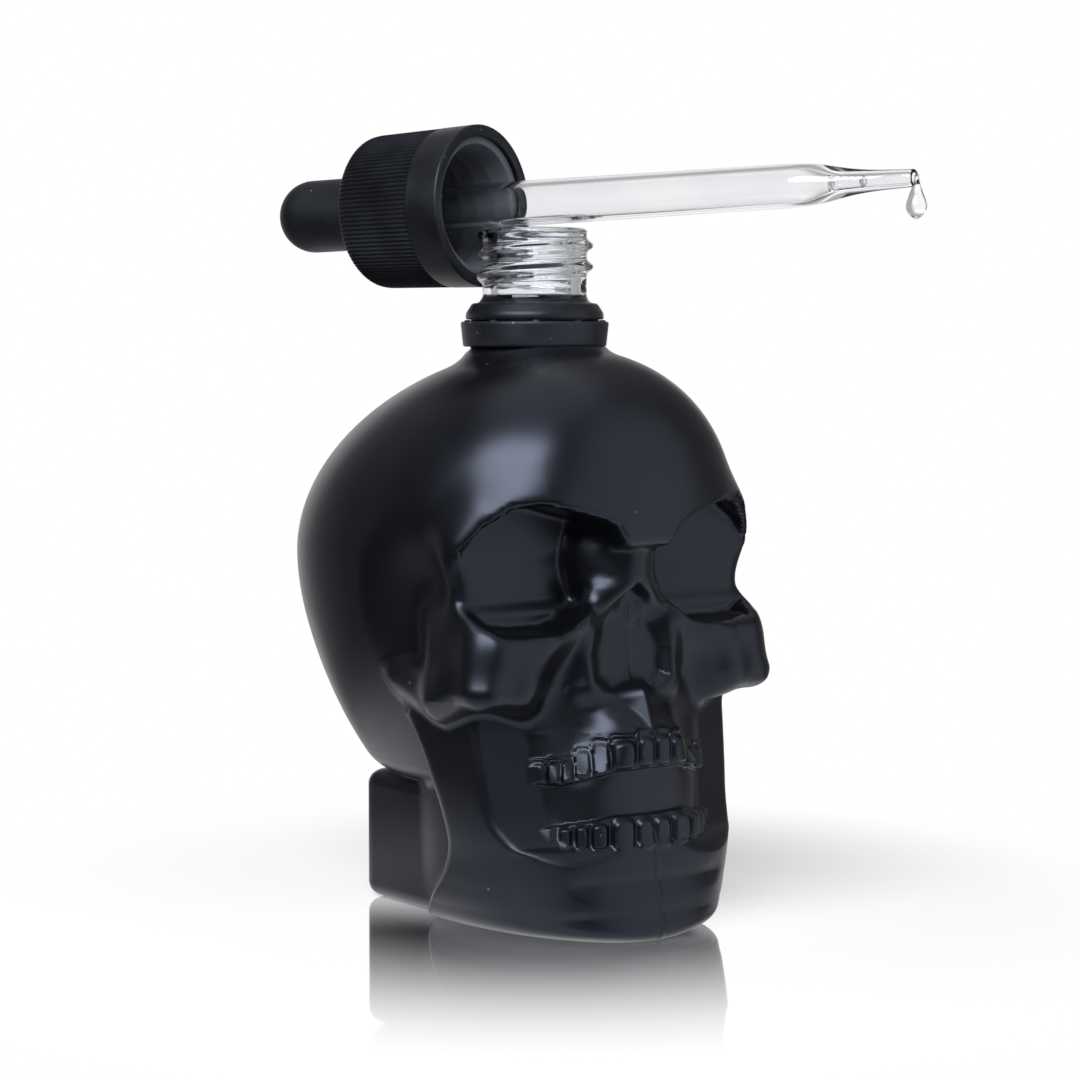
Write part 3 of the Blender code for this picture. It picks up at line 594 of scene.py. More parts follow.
# rows set close at the foot, where the even ones start, the level at which the foot's own
# row is found, how each ring inside it shrinks, and the edge of the coat at the neck
FOOT_LEVELS = (0.0, 0.12, 0.3, 0.55)
LEVELS_START = 0.7
FOOT_PROBE = 0.01
FOOT_SHRINK = (0.5, 0.5, 1.0)
COAT_EDGE = 0.1
# relaxing: passes, rows held at the foot, longest push and least squared slope
RELAX_PASSES = 22
RELAX_HELD = 4
RELAX_PUSH = 0.6
RELAX_SQUARE_LEAST = 0.05
# how far the rays of the face lean at rising levels, the distance of their pivot in front of
# the axis, and the bearings between which they come level again
TILT_LEVELS = (0.0, 26.0, 33.0, 40.0, 47.0, 52.0, 62.4)
TILT_SLOPES = (0.0, 0.0, -0.25, 0.0, 0.15, 0.0, -0.28)
TILT_PIVOT = 24.0
TILT_FADE = (math.radians(95.0), math.radians(140.0))
FAN_END = 0.965
# the hollow inside
CAVITY_MIDDLE = 58.0
CAVITY_RISES = (1.15, 0.90, 0.65, 0.40, 0.15)
CAVITY_LEVELS = (55.0, 47.0, 39.0, 31.0, 23.0, 15.0, 8.0, 4.6)
CAVITY_FOOT_SHARE = 0.72


def brain_case(x, y, z):
    """An egg whose plan is a squared oval, leaning back as it rises, with a flat underside.

    Powers of the distances along each axis, in parts of the reach that way, add up to one
    on its surface.
    """
    up = np.maximum(z - CASE_LEAN_START, 0.0)
    dy = y - CASE_MIDDLE[1] + CASE_LEAN * up * up
    dz = z - CASE_MIDDLE[2]
    reach = np.where(dy < 0.0, CASE_REACH["front"], CASE_REACH["back"])
    power = np.where(dy < 0.0, CASE_POWER["front"], CASE_POWER["back"])
    above = (np.maximum(dz, 0.0) / CASE_REACH["up"]) ** CASE_POWER["up"]
    below = (np.maximum(-dz, 0.0) / CASE_REACH["down"]) ** CASE_POWER["down"]
    flat = np.abs(x / CASE_HALF_WIDTH) ** power + np.abs(dy / reach) ** power + 1e-9
    s = np.sqrt(flat ** (2.0 / power) + above + below)
    f = np.sqrt(x * x + dy * dy + dz * dz) * (1.0 - 1.0 / np.maximum(s, 1e-3))
    return blend_max(f, CASE_UNDERSIDE[0] - z, CASE_UNDERSIDE[1])


def tooth_row(angle, z, table, scallop):
    """How far the row of teeth stands out of the gum.

    A tooth is a pillow: high where the fourth-power distance from its middle, in parts of
    its half width and half height, is below one.  The upper row adds a low arc of gum
    just above each tooth.
    """
    out = np.zeros(z.shape)
    for low, high, foot, top, rise in table:
        across = (angle - 0.5 * (low + high)) / (0.5 * (high - low))
        up = (z - 0.5 * (foot + top)) / (0.5 * (top - foot))
        reach = (across ** 4 + up ** 4) ** 0.25
        pillow = 1.0 - smooth_step(*TOOTH_EDGE, reach)
        pillow = pillow * (1.0 - TOOTH_CROWN * np.clip(across, -1, 1) ** 2)
        out = np.maximum(out, rise * pillow)
        if scallop:
            arc = np.exp(-((reach - GUM_ARC_PLACE[0]) / GUM_ARC_PLACE[1]) ** 2)
            arc = arc * smooth_step(0.2, 0.8, up) * (np.abs(across) < GUM_ARC_PLACE[2])
            out = np.maximum(out, scallop * arc)
    return out


def dental_arch(x, y, z):
    """The arch's plan with its teeth standing out and the gap between the rows set back."""
    f = plan(x, y, ARCH["half"], ARCH["front"], ARCH["back"], *ARCH_POWER, ARCH["middle"])
    angle = np.degrees(np.arctan2(x, ARCH["middle"] - y))
    upper_foot = np.interp(angle, GAP_ANGLES, GAP_TOPS)
    lower_top = np.interp(angle, GAP_ANGLES, GAP_FEET)
    gap = smooth_step(-GAP_EDGE, GAP_EDGE, upper_foot - z)
    gap = gap * smooth_step(-GAP_EDGE, GAP_EDGE, z - lower_top)
    depth = GUM_DEPTH * smooth_step(*GUM_FADE, z) + (GAP_DEPTH - GUM_DEPTH) * gap
    depth = depth + tooth_row(angle, z, UPPER_TEETH, GUM_ARC)
    depth = depth + tooth_row(angle, z, LOWER_TEETH, 0.0)
    f = f - depth + ARCH["lean"] * np.clip(z - ARCH["lean_start"], 0.0, ARCH["lean_reach"])
    f = blend_max(f, z - ARCH["top"], ARCH["end_round"])
    f = blend_max(f, ARCH["foot"] - z, ARCH["end_round"])
    return blend_max(f, y - ARCH["rear"], ARCH["round"])


def lower_jaw(x, y, z):
    """An oval plan that widens as it rises, cut by a slanted plane in front and behind.

    Its half width, reach and cuts are smooth curves of the level, a low relief models the
    chin, and a narrower core joins the two branches.
    """
    half = smooth_line(z, JAW_LEVELS, JAW_HALVES)
    front = smooth_line(z, CHIN_LEVELS, CHIN_FRONTS)
    power = smooth_line(z, JAW_LEVELS, JAW_POWERS)
    f = plan(x, y, half, front, JAW_BACK[0], power, JAW_BACK[1], 0.0)
    relief = smooth_line(z, CHIN_RELIEF_LEVELS, CHIN_RELIEF)
    f = f - relief * smooth_step(*CHIN_RELIEF_FADE, x / CHIN_RELIEF_HALF) * (y < 0.0)
    depth = smooth_line(z, FRONT_LEVELS, FRONT_DEPTHS)
    f = blend_max(f, FRONT_HEADING[0] * x - FRONT_HEADING[1] * y - depth, FRONT_ROUND)
    behind = y - smooth_line(z, REAR_LEVELS, REAR_EDGES)
    behind = REAR_HEADING[0] * (x - REAR_HEADING[2]) + REAR_HEADING[1] * behind
    f = blend_max(f, behind, JAW_ROUND["rear"])
    f = blend_max(f, z - JAW_TOP, JAW_ROUND["top"])
    f = blend_max(f, -z, JAW_ROUND["foot"])
    core = plan(x, y, smooth_line(z, CORE_LEVELS, CORE_HALVES), *CORE_PLAN, 0.0)
    core = blend_max(core, z - JAW_TOP, JAW_ROUND["top"])
    core = blend_max(core, -z, JAW_ROUND["foot"])
    return blend_min(f, core, CORE_BLEND)


def brow_ridge(p):
    """Rods joined end to end along the upper and outer rim of the eye socket."""
    f = rod(p, BROW_RODS[0])
    for row in BROW_RODS[1:]:
        f = blend_min(f, rod(p, row), row[8])
    return f


def with_cheeks(f, x, y, z):
    """The face with its cheek bones: a rod below the socket, a block that leans inwards and
    back as it rises, the arch behind it and a rod down to the upper jaw.

    The lower edge of block and arch is lifted before and behind its lowest place.
    """
    f = blend_min(f, rod((x, y, z), CHEEK_RODS[0]), CHEEK_RODS[0][8])
    shift = CHEEK_SLOPE * np.maximum(z - CHEEK_SLOPE_START, 0.0)
    lift = CHEEK_REAR_LIFT[1] * np.maximum(y - CHEEK_REAR_LIFT[0], 0.0)
    lift = lift + CHEEK_FRONT_LIFT[2] * np.clip(CHEEK_FRONT_LIFT[0] - y, 0.0,
                                                CHEEK_FRONT_LIFT[1])
    lift = lift * smooth_step(*CHEEK_LIFT_FADE, z)
    cheek = block((x + shift, y - shift, z - lift), *CHEEK_BLOCK[0:3])
    f = blend_min(f, cheek, CHEEK_BLOCK[3])
    f = blend_min(f, rod((x, y, z - lift), CHEEK_RODS[1]), CHEEK_RODS[1][8])
    return blend_min(f, rod((x, y, z), CHEEK_RODS[2]), CHEEK_RODS[2][8])


def nose_keel(x, y, z):
    """A wedge below the nose: two slanted sides that meet in front, cut level at its ends."""
    f = -y + KEEL["slope"] * x - KEEL["front"]
    f = f - KEEL["rise"] * np.clip(KEEL["level"] - z, 0.0, KEEL["reach"])
    f = f / math.hypot(1.0, KEEL["slope"], KEEL["rise"])
    for side in (x - KEEL["half"], z - KEEL["top"], KEEL["foot"] - z, y - KEEL["rear"]):
        f = blend_max(f, side, KEEL["round"])
    return f


def cut_socket(f, x, y, z):
    """The face less its eye socket: an outline cut straight back to a flat floor.

    A ledge stands on the floor at the foot, the sill closes in as it goes back, and the
    rim is rounded more towards the temple.
    """
    ledge = ORBIT_LEDGE["depth"] * smooth_step(ORBIT_LEDGE["high"], ORBIT_LEDGE["low"], z)
    sill = ORBIT_SILL["slope"] * np.maximum(y - ORBIT_SILL["depth"], 0.0)
    sill = sill * smooth_step(ORBIT_SILL["high"], ORBIT_SILL["low"], z)
    hole = blend_max(outline(x, z, ORBIT_OUTLINE) + sill,
                     y + ORBIT_DEPTHS["floor"] + ledge, ORBIT_DEPTHS["corner"])
    lip = ORBIT_DEPTHS["lip"] + ORBIT_DEPTHS["side_lip"] * smooth_step(*ORBIT_SIDE, x)
    return blend_max(f, -hole, lip)


def cut_nose(f, x, y, z):
    """The face less its nose opening, with a low wall down the middle of the floor."""
    septum = SEPTUM[0] * np.exp(-(x / SEPTUM[1]) ** 2)
    hole = blend_max(outline(x, z, NOSE_OUTLINE), y + NOSE_DEPTHS["floor"] + septum,
                     NOSE_DEPTHS["corner"])
    return blend_max(f, -hole, NOSE_DEPTHS["lip"])


def skull_field(x, y, z):
    """Negative inside the skull and positive outside, in millimetres.

    Rounded solids are joined by a smooth minimum and hollows are cut by a smooth maximum.
    The two halves mirror each other, and the mould seam is a bell across the middle.
    """
    x = np.abs(x)
    p = (x, y, z)
    f = brain_case(x, y, z)
    f = blend_max(f, -egg(p, *TEMPLE_HOLLOW[0:2]), TEMPLE_HOLLOW[2])
    cut = blend_max(y - FACE_CUT["back"], z - FACE_CUT["top"], FACE_CUT["round"])
    f = blend_max(f, -cut, FACE_CUT["blend"])
    edge = LOBE_CUT["front"] + LOBE_CUT["slope"] * (z - LOBE_CUT["level"])
    cut = blend_max(y - edge, z - LOBE_CUT["top"], LOBE_CUT["round"])
    f = blend_max(f, -cut, LOBE_CUT["blend"])
    f = blend_min(f, brow_ridge(p), BROW_BLEND)
    for row in (UPPER_JAW_BLOCK, MAXILLA_BLOCK):
        f = blend_min(f, block(p, *row[0:3]), row[3])
    f = with_cheeks(f, x, y, z)
    arch = blend_min(dental_arch(x, y, z), nose_keel(x, y, z), KEEL["blend"])
    f = blend_min(f, arch, ARCH["blend"])
    f = blend_max(f, -egg(p, *CANINE_HOLLOW[0:2]), CANINE_HOLLOW[2])
    f = blend_min(f, lower_jaw(x, y, z), JAW_BLEND)
    for row in (REAR_BLOCK, REAR_CORE):
        f = blend_min(f, block(p, *row[0:3]), row[3])
    f = cut_socket(f, x, y, z)
    for row in BRIDGE_RODS:
        f = blend_min(f, rod(p, row), row[8])
    f = cut_nose(f, x, y, z)
    stem = np.sqrt(x * x + y * y) - NECK_FOOT_RADIUS
    f = blend_min(f, np.maximum(stem, NECK_START - z), NECK_BLEND)
    seam = SEAM[0] * np.exp(-(x / SEAM[1]) ** 2) * (y < 0.0)
    return f - seam * smooth_step(SEAM_TOP[1], SEAM_TOP[0], z)


def cast(starts, heads, level, outward):
    """Distance along each ray to the surface where the field equals level.

    The ray is stepped until the field changes side and the step is halved till it is fine.
    """
    steps = np.linspace(*RAY_REACH, RAY_STEPS)
    if not outward:
        steps = steps[::-1]
    near = np.full(starts.shape[:-1], steps[0])
    far = near.copy()
    found = np.zeros(starts.shape[:-1], bool)
    for k in range(1, len(steps)):
        open_rays = np.nonzero(~found)
        if not len(open_rays[0]):
            break
        p = starts[open_rays] + heads[open_rays] * steps[k]
        value = skull_field(p[:, 0], p[:, 1], p[:, 2]) - level
        hit = (value > 0.0) if outward else (value < 0.0)
        chosen = tuple(i[hit] for i in open_rays)
        near[chosen] = steps[k - 1]
        far[chosen] = steps[k]
        found[chosen] = True
    for _ in range(RAY_HALVINGS):
        middle = 0.5 * (near + far)
        p = starts + heads * middle[..., None]
        value = skull_field(p[..., 0], p[..., 1], p[..., 2]) - level
        passed = (value > 0.0) if outward else (value < 0.0)
        far = np.where(passed, middle, far)
        near = np.where(passed, near, middle)
    return 0.5 * (near + far)


def field_slope(points):
    """The field at points and its gradient, from small steps along each axis."""
    x, y, z = points[..., 0], points[..., 1], points[..., 2]
    value = skull_field(x, y, z)
    slope = np.stack([skull_field(x + FIELD_STEP, y, z) - value,
                      skull_field(x, y + FIELD_STEP, z) - value,
                      skull_field(x, y, z + FIELD_STEP) - value], -1) / FIELD_STEP
    return value, slope


def relaxed(points, passes, held_rows):
    """Grid points drawn to the mean of their neighbours and set back on the surface.

    Each pass moves a point half way to its four neighbours' mean, then along the field's
    gradient by the field's value, so steep walls get as many rows as the open faces.
    """
    first, last = held_rows
    for k in range(passes):
        side = 0.5 * (np.roll(points, 1, 1) + np.roll(points, -1, 1))
        middle = 0.5 * (points[first - 1:last - 1] + points[first + 1:last + 1])
        moved = 0.5 * points[first:last] + 0.25 * (side[first:last] + middle)
        for _ in range(1 if k < passes // 2 else 2):
            value, slope = field_slope(moved)
            square = np.maximum((slope ** 2).sum(-1), RELAX_SQUARE_LEAST)
            push = np.clip(value / square, -RELAX_PUSH, RELAX_PUSH)
            moved = moved - slope * push[..., None]
        points = points.copy()
        points[first:last] = moved
    return points


def headings(angles, slope):
    """Unit headings of rays at the columns' angles that climb by a slope."""
    flat = np.ones(len(angles)) / np.sqrt(1.0 + slope * slope)
    return np.stack([flat * np.sin(angles), -flat * np.cos(angles), flat * slope], -1)


def level_rays(angles, levels, rises, middle):
    """Level rays at falling heights after rays that rise from one middle."""
    height = np.concatenate([np.full(len(rises), middle), levels])
    slope = np.tan(np.concatenate([rises, np.zeros(len(levels))]))[:, None]
    starts = np.zeros((len(height), len(angles), 3))
    starts[..., 2] = height[:, None]
    return starts, headings(angles, slope)


def face_rays(angles, levels, fan_rows):
    """Rays that fall where the face overhangs and climb at its sills, then a fan to the neck."""
    back = (np.abs(angles) - TILT_FADE[0]) / (TILT_FADE[1] - TILT_FADE[0])
    front = 1.0 - np.clip(back, 0.0, 1.0)
    slope = np.interp(levels, TILT_LEVELS, TILT_SLOPES)[:, None] * front
    middle = levels[-1] - TILT_PIVOT * slope[-1]
    low = np.arctan(slope[-1])
    high = np.arctan2(NECK_FOOT_LEVEL - middle, NECK_FOOT_RADIUS)
    part = np.linspace(0.0, FAN_END, fan_rows + 1)[1:, None]
    fan = np.tan(low + part * (high - low))
    starts = np.zeros((len(levels) + fan_rows, len(angles), 3))
    starts[:len(levels), :, 2] = levels[:, None] - TILT_PIVOT * slope
    starts[len(levels):, :, 2] = middle
    return starts, headings(angles, np.concatenate([slope, fan]))


def skull_points():
    """Closed grid of the coated body: foot, outside, neck foot, bore and cavity."""
    columns, level_rows, fan_rows = GRID_FULL
    u = np.linspace(-1.0, 1.0, columns, endpoint=False)
    angles = math.pi * (COLUMN_SHARES[0] * u + COLUMN_SHARES[1] * u ** 3)
    levels = np.linspace(0.0, TILT_LEVELS[-1], level_rows)
    levels = np.concatenate([FOOT_LEVELS, levels[levels > LEVELS_START]])
    starts, heads = face_rays(angles, levels, fan_rows)
    probe = starts.copy()
    probe[0, :, 2] = FOOT_PROBE
    half = columns // 2 + 1
    left = cast(probe[:, :half], heads[:, :half], 0.0, False)
    distance = np.concatenate([left, left[:, 1:-1][:, ::-1]], 1)
    outside = starts + heads * distance[..., None]
    outside = relaxed(outside, RELAX_PASSES, (RELAX_HELD, len(outside) - 1))

    def ring(radius, level):
        """A row of the grid round the axis at one radius and level."""
        return np.stack([radius * np.sin(angles), -radius * np.cos(angles),
                         np.full(columns, level)], -1)[None]

    starts, heads = level_rays(angles, np.array(CAVITY_LEVELS), np.array(CAVITY_RISES),
                               CAVITY_MIDDLE)
    distance = cast(starts, heads, -GLASS_WALL, True)
    distance[-1] *= CAVITY_FOOT_SHARE
    cavity = starts + heads * distance[..., None]
    foot = outside[:1] * np.array(FOOT_SHRINK)
    return np.concatenate([
        foot * np.array(FOOT_SHRINK), foot, outside,
        ring(NECK_FOOT_RADIUS, NECK_FOOT_LEVEL), ring(NECK_FOOT_RADIUS, COAT_TOP - COAT_EDGE),
        ring(NECK_FOOT_RADIUS - COAT_EDGE, COAT_TOP), ring(BORE_RADIUS, COAT_TOP),
        ring(BORE_RADIUS, NECK_FOOT_LEVEL), cavity])


# materials

# where the spray's edge lies on the neck and how far it wanders, metres above the foot
SPRAY_EDGE = (0.0918, 0.0942)
SPRAY_DRIFT = 0.0009


def dusted(tree, place, tone, size, share, edge, code):
    """A colour with specks of dust on it.

    Space is split into cells of a size in millimetres; a share of them, picked by their
    random colour, carries one round speck, whose edge fades between two distances.
    """
    specks = add(tree, "ShaderNodeTexVoronoi", {"Scale": cells(size)}, {"Vector": place})
    chance = add(tree, "ShaderNodeSeparateColor", links={0: specks.outputs["Color"]})
    chosen = add(tree, "ShaderNodeMath", {"operation": "GREATER_THAN", 1: 1.0 - share},
                 {0: chance.outputs[0]})
    small = spread(tree, specks.outputs["Distance"], *edge, 1.0, 0.0)
    amount = add(tree, "ShaderNodeMath", {"operation": "MULTIPLY"},
                 {0: chosen.outputs[0], 1: small})
    return add(tree, "ShaderNodeMix", {"data_type": "RGBA", 7: linear(code)},
               {0: amount.outputs[0], 6: tone}).outputs[2]


def uneven_skin(tree, shader, place, size, strength, depth):
    """Noise as a bump: the size of its grains in millimetres and their depth in metres."""
    grain = add(tree, "ShaderNodeTexNoise", {"Scale": cells(size), "Detail": 2.0},
                {"Vector": place})
    bump = add(tree, "ShaderNodeBump", {"Strength": strength, "Distance": depth},
               {"Height": grain.outputs[0]})
    tree.links.new(bump.outputs[0], shader.inputs["Normal"])


def coated_glass():
    """Glass sprayed with a satin black lacquer: blue-black, with a painted blue cast on its
    reflections, a soft broad sheen, a very fine orange-peel and a few specks of dust,
    glossier where hands have rubbed."""
    material, tree, shader, place = new_material("sprayed_satin_black_lacquer_on_glass")
    cloud = add(tree, "ShaderNodeTexNoise", {"Scale": cells(16.67), "Detail": 3.0},
                {"Vector": place})
    tone = ramp(tree, cloud.outputs[0], [(0.3, "#050608"), (0.7, "#08090c")])
    colour = dusted(tree, place, tone.outputs[0], 3.03, 0.07, (0.03, 0.09), "#4c515a")
    tree.links.new(colour, shader.inputs["Base Color"])
    rough = spread(tree, cloud.outputs[0], 0.25, 0.75, 0.29, 0.37)
    tree.links.new(rough, shader.inputs["Roughness"])
    shader.inputs["IOR"].default_value = 1.50
    # Specular Tint: a painted blue cast on the reflections, standing in for bluish studio light
    shader.inputs["Specular Tint"].default_value = linear("#d4e0ff")
    uneven_skin(tree, shader, place, 0.3846, 0.10, 0.00006)
    return material


def neck_flint_glass():
    """Clear pressed flint glass, glossy with faint waviness from the mould, its foot under
    the edge of the sprayed coat, which fades out in a soft grainy line."""
    material, tree, shader, place = new_material("pressed_flint_glass_with_spray_edge")
    height = add(tree, "ShaderNodeSeparateXYZ", links={0: place}).outputs[2]
    drift = add(tree, "ShaderNodeTexNoise", {"Scale": cells(5.882), "Detail": 5.0},
                {"Vector": place})
    shifted = add(tree, "ShaderNodeMath", {"operation": "MULTIPLY_ADD", 1: 2.0 * SPRAY_DRIFT,
                  2: -SPRAY_DRIFT}, {0: drift.outputs[0]})
    level = add(tree, "ShaderNodeMath", {"operation": "ADD"}, {0: height, 1: shifted.outputs[0]})
    edge = spread(tree, level.outputs[0], *SPRAY_EDGE, 0.0, 1.0)
    tone = ramp(tree, edge, [(0.0, "#14171e"), (0.35, "#484c55"), (1.0, "#f4f6fa")], "LINEAR")
    tree.links.new(tone.outputs[0], shader.inputs["Base Color"])
    rough = spread(tree, edge, 0.0, 0.9, 0.42, 0.02)
    tree.links.new(rough, shader.inputs["Roughness"])
    shader.inputs["IOR"].default_value = 1.52
    # Specular Tint: a painted blue cast on the reflections, standing in for bluish studio light
    shader.inputs["Specular Tint"].default_value = linear("#dce6ff")
    shader.inputs["Transmission Weight"].default_value = 1.0
    uneven_skin(tree, shader, place, 3.846, 0.25, 0.0002)
    return material


def clear_glass(name, tint, ior, wave_size):
    """Drawn clear glass or a clear spirit: a mirror-smooth skin with only a breath of
    colour, which drifts between two near-white tints as the melt or the spirit does."""
    material, tree, shader, place = new_material(name)
    wave = add(tree, "ShaderNodeTexNoise", {"Scale": cells(wave_size), "Detail": 1.0},
               {"Vector": place})
    tone = ramp(tree, wave.outputs[0], [(0.3, tint[0]), (0.7, tint[1])])
    tree.links.new(tone.outputs[0], shader.inputs["Base Color"])
    shader.inputs["Roughness"].default_value = 0.0
    shader.inputs["IOR"].default_value = ior
    shader.inputs["Transmission Weight"].default_value = 1.0
    return material


def moulded_plastic(name, dark, light, roughness, grain_size, strength, dust_share):
    """Injection-moulded polypropylene or rubber: dark, softly shining, with the mould's
    spark-eroded grain as a fine bump and pale dust caught on it."""
    material, tree, shader, place = new_material(name)
    cloud = add(tree, "ShaderNodeTexNoise", {"Scale": cells(5.556), "Detail": 4.0},
                {"Vector": place})
    tone = ramp(tree, cloud.outputs[0], [(0.3, dark), (0.7, light)])
    colour = dusted(tree, place, tone.outputs[0], 1.111, dust_share, (0.05, 0.22), "#74777d")
    tree.links.new(colour, shader.inputs["Base Color"])
    rough = spread(tree, cloud.outputs[0], 0.3, 0.7, roughness - 0.04, roughness + 0.05)
    tree.links.new(rough, shader.inputs["Roughness"])
    shader.inputs["IOR"].default_value = 1.49
    # Specular Tint: a painted blue cast on the reflections, standing in for bluish studio light
    shader.inputs["Specular Tint"].default_value = linear("#dce6ff")
    uneven_skin(tree, shader, place, grain_size, strength, 0.00008)
    return material


# pieces

def build_neck():
    """Clear neck: a turned profile with a helical ridge added to its outer wall.

    The ridge's height falls off from the helix line as a bell, and its ends fade out over
    a tenth of a turn.
    """
    foot = [(NECK_FOOT_RADIUS, GLASS_FOOT), (NECK_FOOT_RADIUS, BEAD_FOOT)]
    bead = [(BEAD_RADIUS, BEAD_FOOT), (BEAD_RADIUS, BEAD_FOOT + 0.9),
            (BEAD_TOP_RADIUS, BEAD_TOP)]
    wall = [(NECK_RADIUS + 0.5, BEAD_TOP + 0.15), (NECK_RADIUS, BEAD_TOP + 1.1),
            (NECK_RADIUS, LIP_LEVEL - 0.9), (NECK_RADIUS + 0.1, LIP_LEVEL - 0.5)]
    lip = [(NECK_RADIUS - 0.15, LIP_LEVEL), (BORE_RADIUS + 0.35, LIP_LEVEL)]
    bore = [(BORE_RADIUS, LIP_LEVEL - 0.7), (BORE_RADIUS, GLASS_FOOT)]
    path = profile(foot + bead + wall + lip + bore, 0.14, 0.35, sharp=(0, 1, 12))

    def thread(angle, z, r):
        """What the ridge adds to the radius of a point on the outer wall."""
        turn = ((angle - THREAD_START_ANGLE) / TURN) % 1.0
        whole = np.round((z - THREAD_START - THREAD_PITCH * turn) / THREAD_PITCH)
        place = turn + whole
        gap = z - (THREAD_START + THREAD_PITCH * place)
        fade = smooth_step(0.0, THREAD_FADE, place)
        fade = fade * smooth_step(0.0, THREAD_FADE, THREAD_TURNS - place)
        bell = np.exp(-np.abs(gap / THREAD_WIDTH) ** THREAD_POWER)
        return THREAD_HEIGHT * fade * bell * (r > NECK_RADIUS - 0.2) * (z > BEAD_TOP + 0.9)

    points = turned(path[:, 0], path[:, 1], 220, thread)
    item = piece("neck_glass", points, neck_flint_glass(), "bottle",
                 ("glass_bottle",), closed_rows=True)
    creased(item, CREASE)


def build_band(material):
    """Tamper band: a turned ring with its torn bridges standing on the top edge.

    A bridge lifts the top edge by a smooth step of the distance along it from the bridge.
    """
    foot = BAND_TOP - BAND_HEIGHT
    path = profile([(BAND_INSIDE, foot), (BAND_FOOT_RADIUS, foot),
                    (BAND_TOP_RADIUS, BAND_TOP), (BAND_INSIDE, BAND_TOP)], 0.25, 0.42)
    points = turned(path[:, 0], path[:, 1], 360)
    angle = np.arctan2(points[..., 1], points[..., 0])
    turn = (angle * STUB_COUNT / TURN) % 1.0 - 0.5
    gap = turn * TURN * BAND_TOP_RADIUS / STUB_COUNT
    stub = smooth_step(STUB_WIDTH, 0.5 * STUB_WIDTH, np.abs(gap))
    on_top = (points[..., 2] > BAND_TOP - 0.03) & (np.hypot(points[..., 0], points[..., 1])
                                                   > BAND_INSIDE + 0.2)
    points[..., 2] += STUB_HEIGHT * stub * on_top
    item = piece("tamper_ring", points, material, "band", ("tamper_band",),
                 closed_rows=True)
    creased(item, CREASE)


def build_shell(material):
    """Outer shell: a turned cup whose side carries fine upright ribs.

    The side's radius is lowered between ribs by a power of a cosine of the angle, and the
    ribs run out at the shoulder and at the plain band.
    """
    turn = np.radians(np.linspace(-90.0, 0.0, 9))
    shoulder_r = SHELL_END_RADIUS - SHELL_CORNER + SHELL_CORNER * np.cos(turn)
    shoulder_s = SHELL_END + SHELL_CORNER + SHELL_CORNER * np.sin(turn)
    side = np.concatenate([np.linspace(SHELL_END + SHELL_CORNER + 0.3, RIB_END - 0.3, 12),
                           [RIB_END - 0.1, RIB_END, RIB_END + 0.12, RIB_END + 0.3],
                           np.linspace(RIB_END + 1.0, RIM - 0.45, 5)])
    side_r = np.interp(side, [SHELL_END, RIM], [SHELL_END_RADIUS, SHELL_RIM_RADIUS])
    rim_turn = np.radians(np.linspace(15.0, 90.0, 5))
    rim_r = SHELL_RIM_RADIUS - 0.3 + 0.3 * np.cos(rim_turn)
    rim_s = RIM - 0.3 + 0.3 * np.sin(rim_turn)
    inner_r = [SHELL_LIP_RADIUS + 0.25, SHELL_LIP_RADIUS, SHELL_LIP_RADIUS,
               SHELL_ROOM_RADIUS, SHELL_ROOM_RADIUS,
               SHELL_END_RADIUS - SHELL_WALL, STEM_HOLE + 0.2, STEM_HOLE, STEM_HOLE,
               STEM_HOLE + 0.2]
    inner_s = [RIM, RIM - 0.2, CAP_RIM + 0.35, CAP_RIM + 0.3, CAP_RIM - 0.2,
               SHELL_END + SHELL_WALL, SHELL_END + SHELL_WALL, SHELL_END + SHELL_WALL - 0.2,
               SHELL_END + 0.2, SHELL_END]
    r = np.concatenate([shoulder_r, side_r, rim_r, inner_r])
    s = np.concatenate([shoulder_s, side, rim_s, inner_s])

    def ribs(angle, z, radius):
        """What the side loses between ribs."""
        strength = smooth_step(SHELL_END + 0.15, SHELL_END + 1.4, z)
        strength = strength * smooth_step(RIB_END + 0.12, RIB_END - 0.1, z)
        strength = strength * (radius > SHELL_END_RADIUS - SHELL_CORNER)
        wave = 0.5 - 0.5 * np.cos(RIB_COUNT * angle)
        return -RIB_DEPTH * strength * (1.0 - wave ** RIB_POWER) - RIB_INSET * strength

    points = turned(r, s, RIB_COUNT * RIB_COLUMNS, ribs)
    item = piece("ribbed_shell", laid(points), material, "cap_shell",
                 ("outer_shell",), closed_rows=True)
    creased(item, RIB_CREASE)


def build_inner_cap(material):
    """Inner cap: a turned cup with a low helical ridge inside, a bell in section."""
    path = profile([(STEM_HOLE, CAP_CEILING), (STEM_HOLE, CAP_END), (CAP_END_RADIUS, CAP_END),
                    (CAP_RIM_RADIUS, CAP_RIM), (CAP_RIM_RADIUS - CAP_WALL, CAP_RIM),
                    (CAP_END_RADIUS - CAP_WALL, CAP_CEILING)], 0.3, 0.3)

    def thread(angle, z, r):
        """What the ridge takes from the radius of a point on the inner wall."""
        turn = (angle / TURN) % 1.0
        start = CAP_CEILING + CAP_THREAD_START
        whole = np.round((z - start + THREAD_PITCH * turn) / THREAD_PITCH)
        gap = z - (start - THREAD_PITCH * turn + THREAD_PITCH * whole)
        bell = np.exp(-np.abs(gap / CAP_THREAD_WIDTH) ** CAP_THREAD_POWER)
        inside = (r < CAP_RIM_RADIUS - CAP_WALL + 0.05) & (r > STEM_HOLE + 1.0)
        span = smooth_step(CAP_CEILING + 1.2, CAP_CEILING + 2.4, z)
        span = span * smooth_step(CAP_RIM - 0.8, CAP_RIM - 2.0, z)
        return -CAP_THREAD_HEIGHT * bell * span * inside

    points = turned(path[:, 0], path[:, 1], 160, thread)
    item = piece("screw_cap_liner", laid(points), material, "dropper",
                 ("inner_cap",), closed_rows=True)
    creased(item, CREASE)


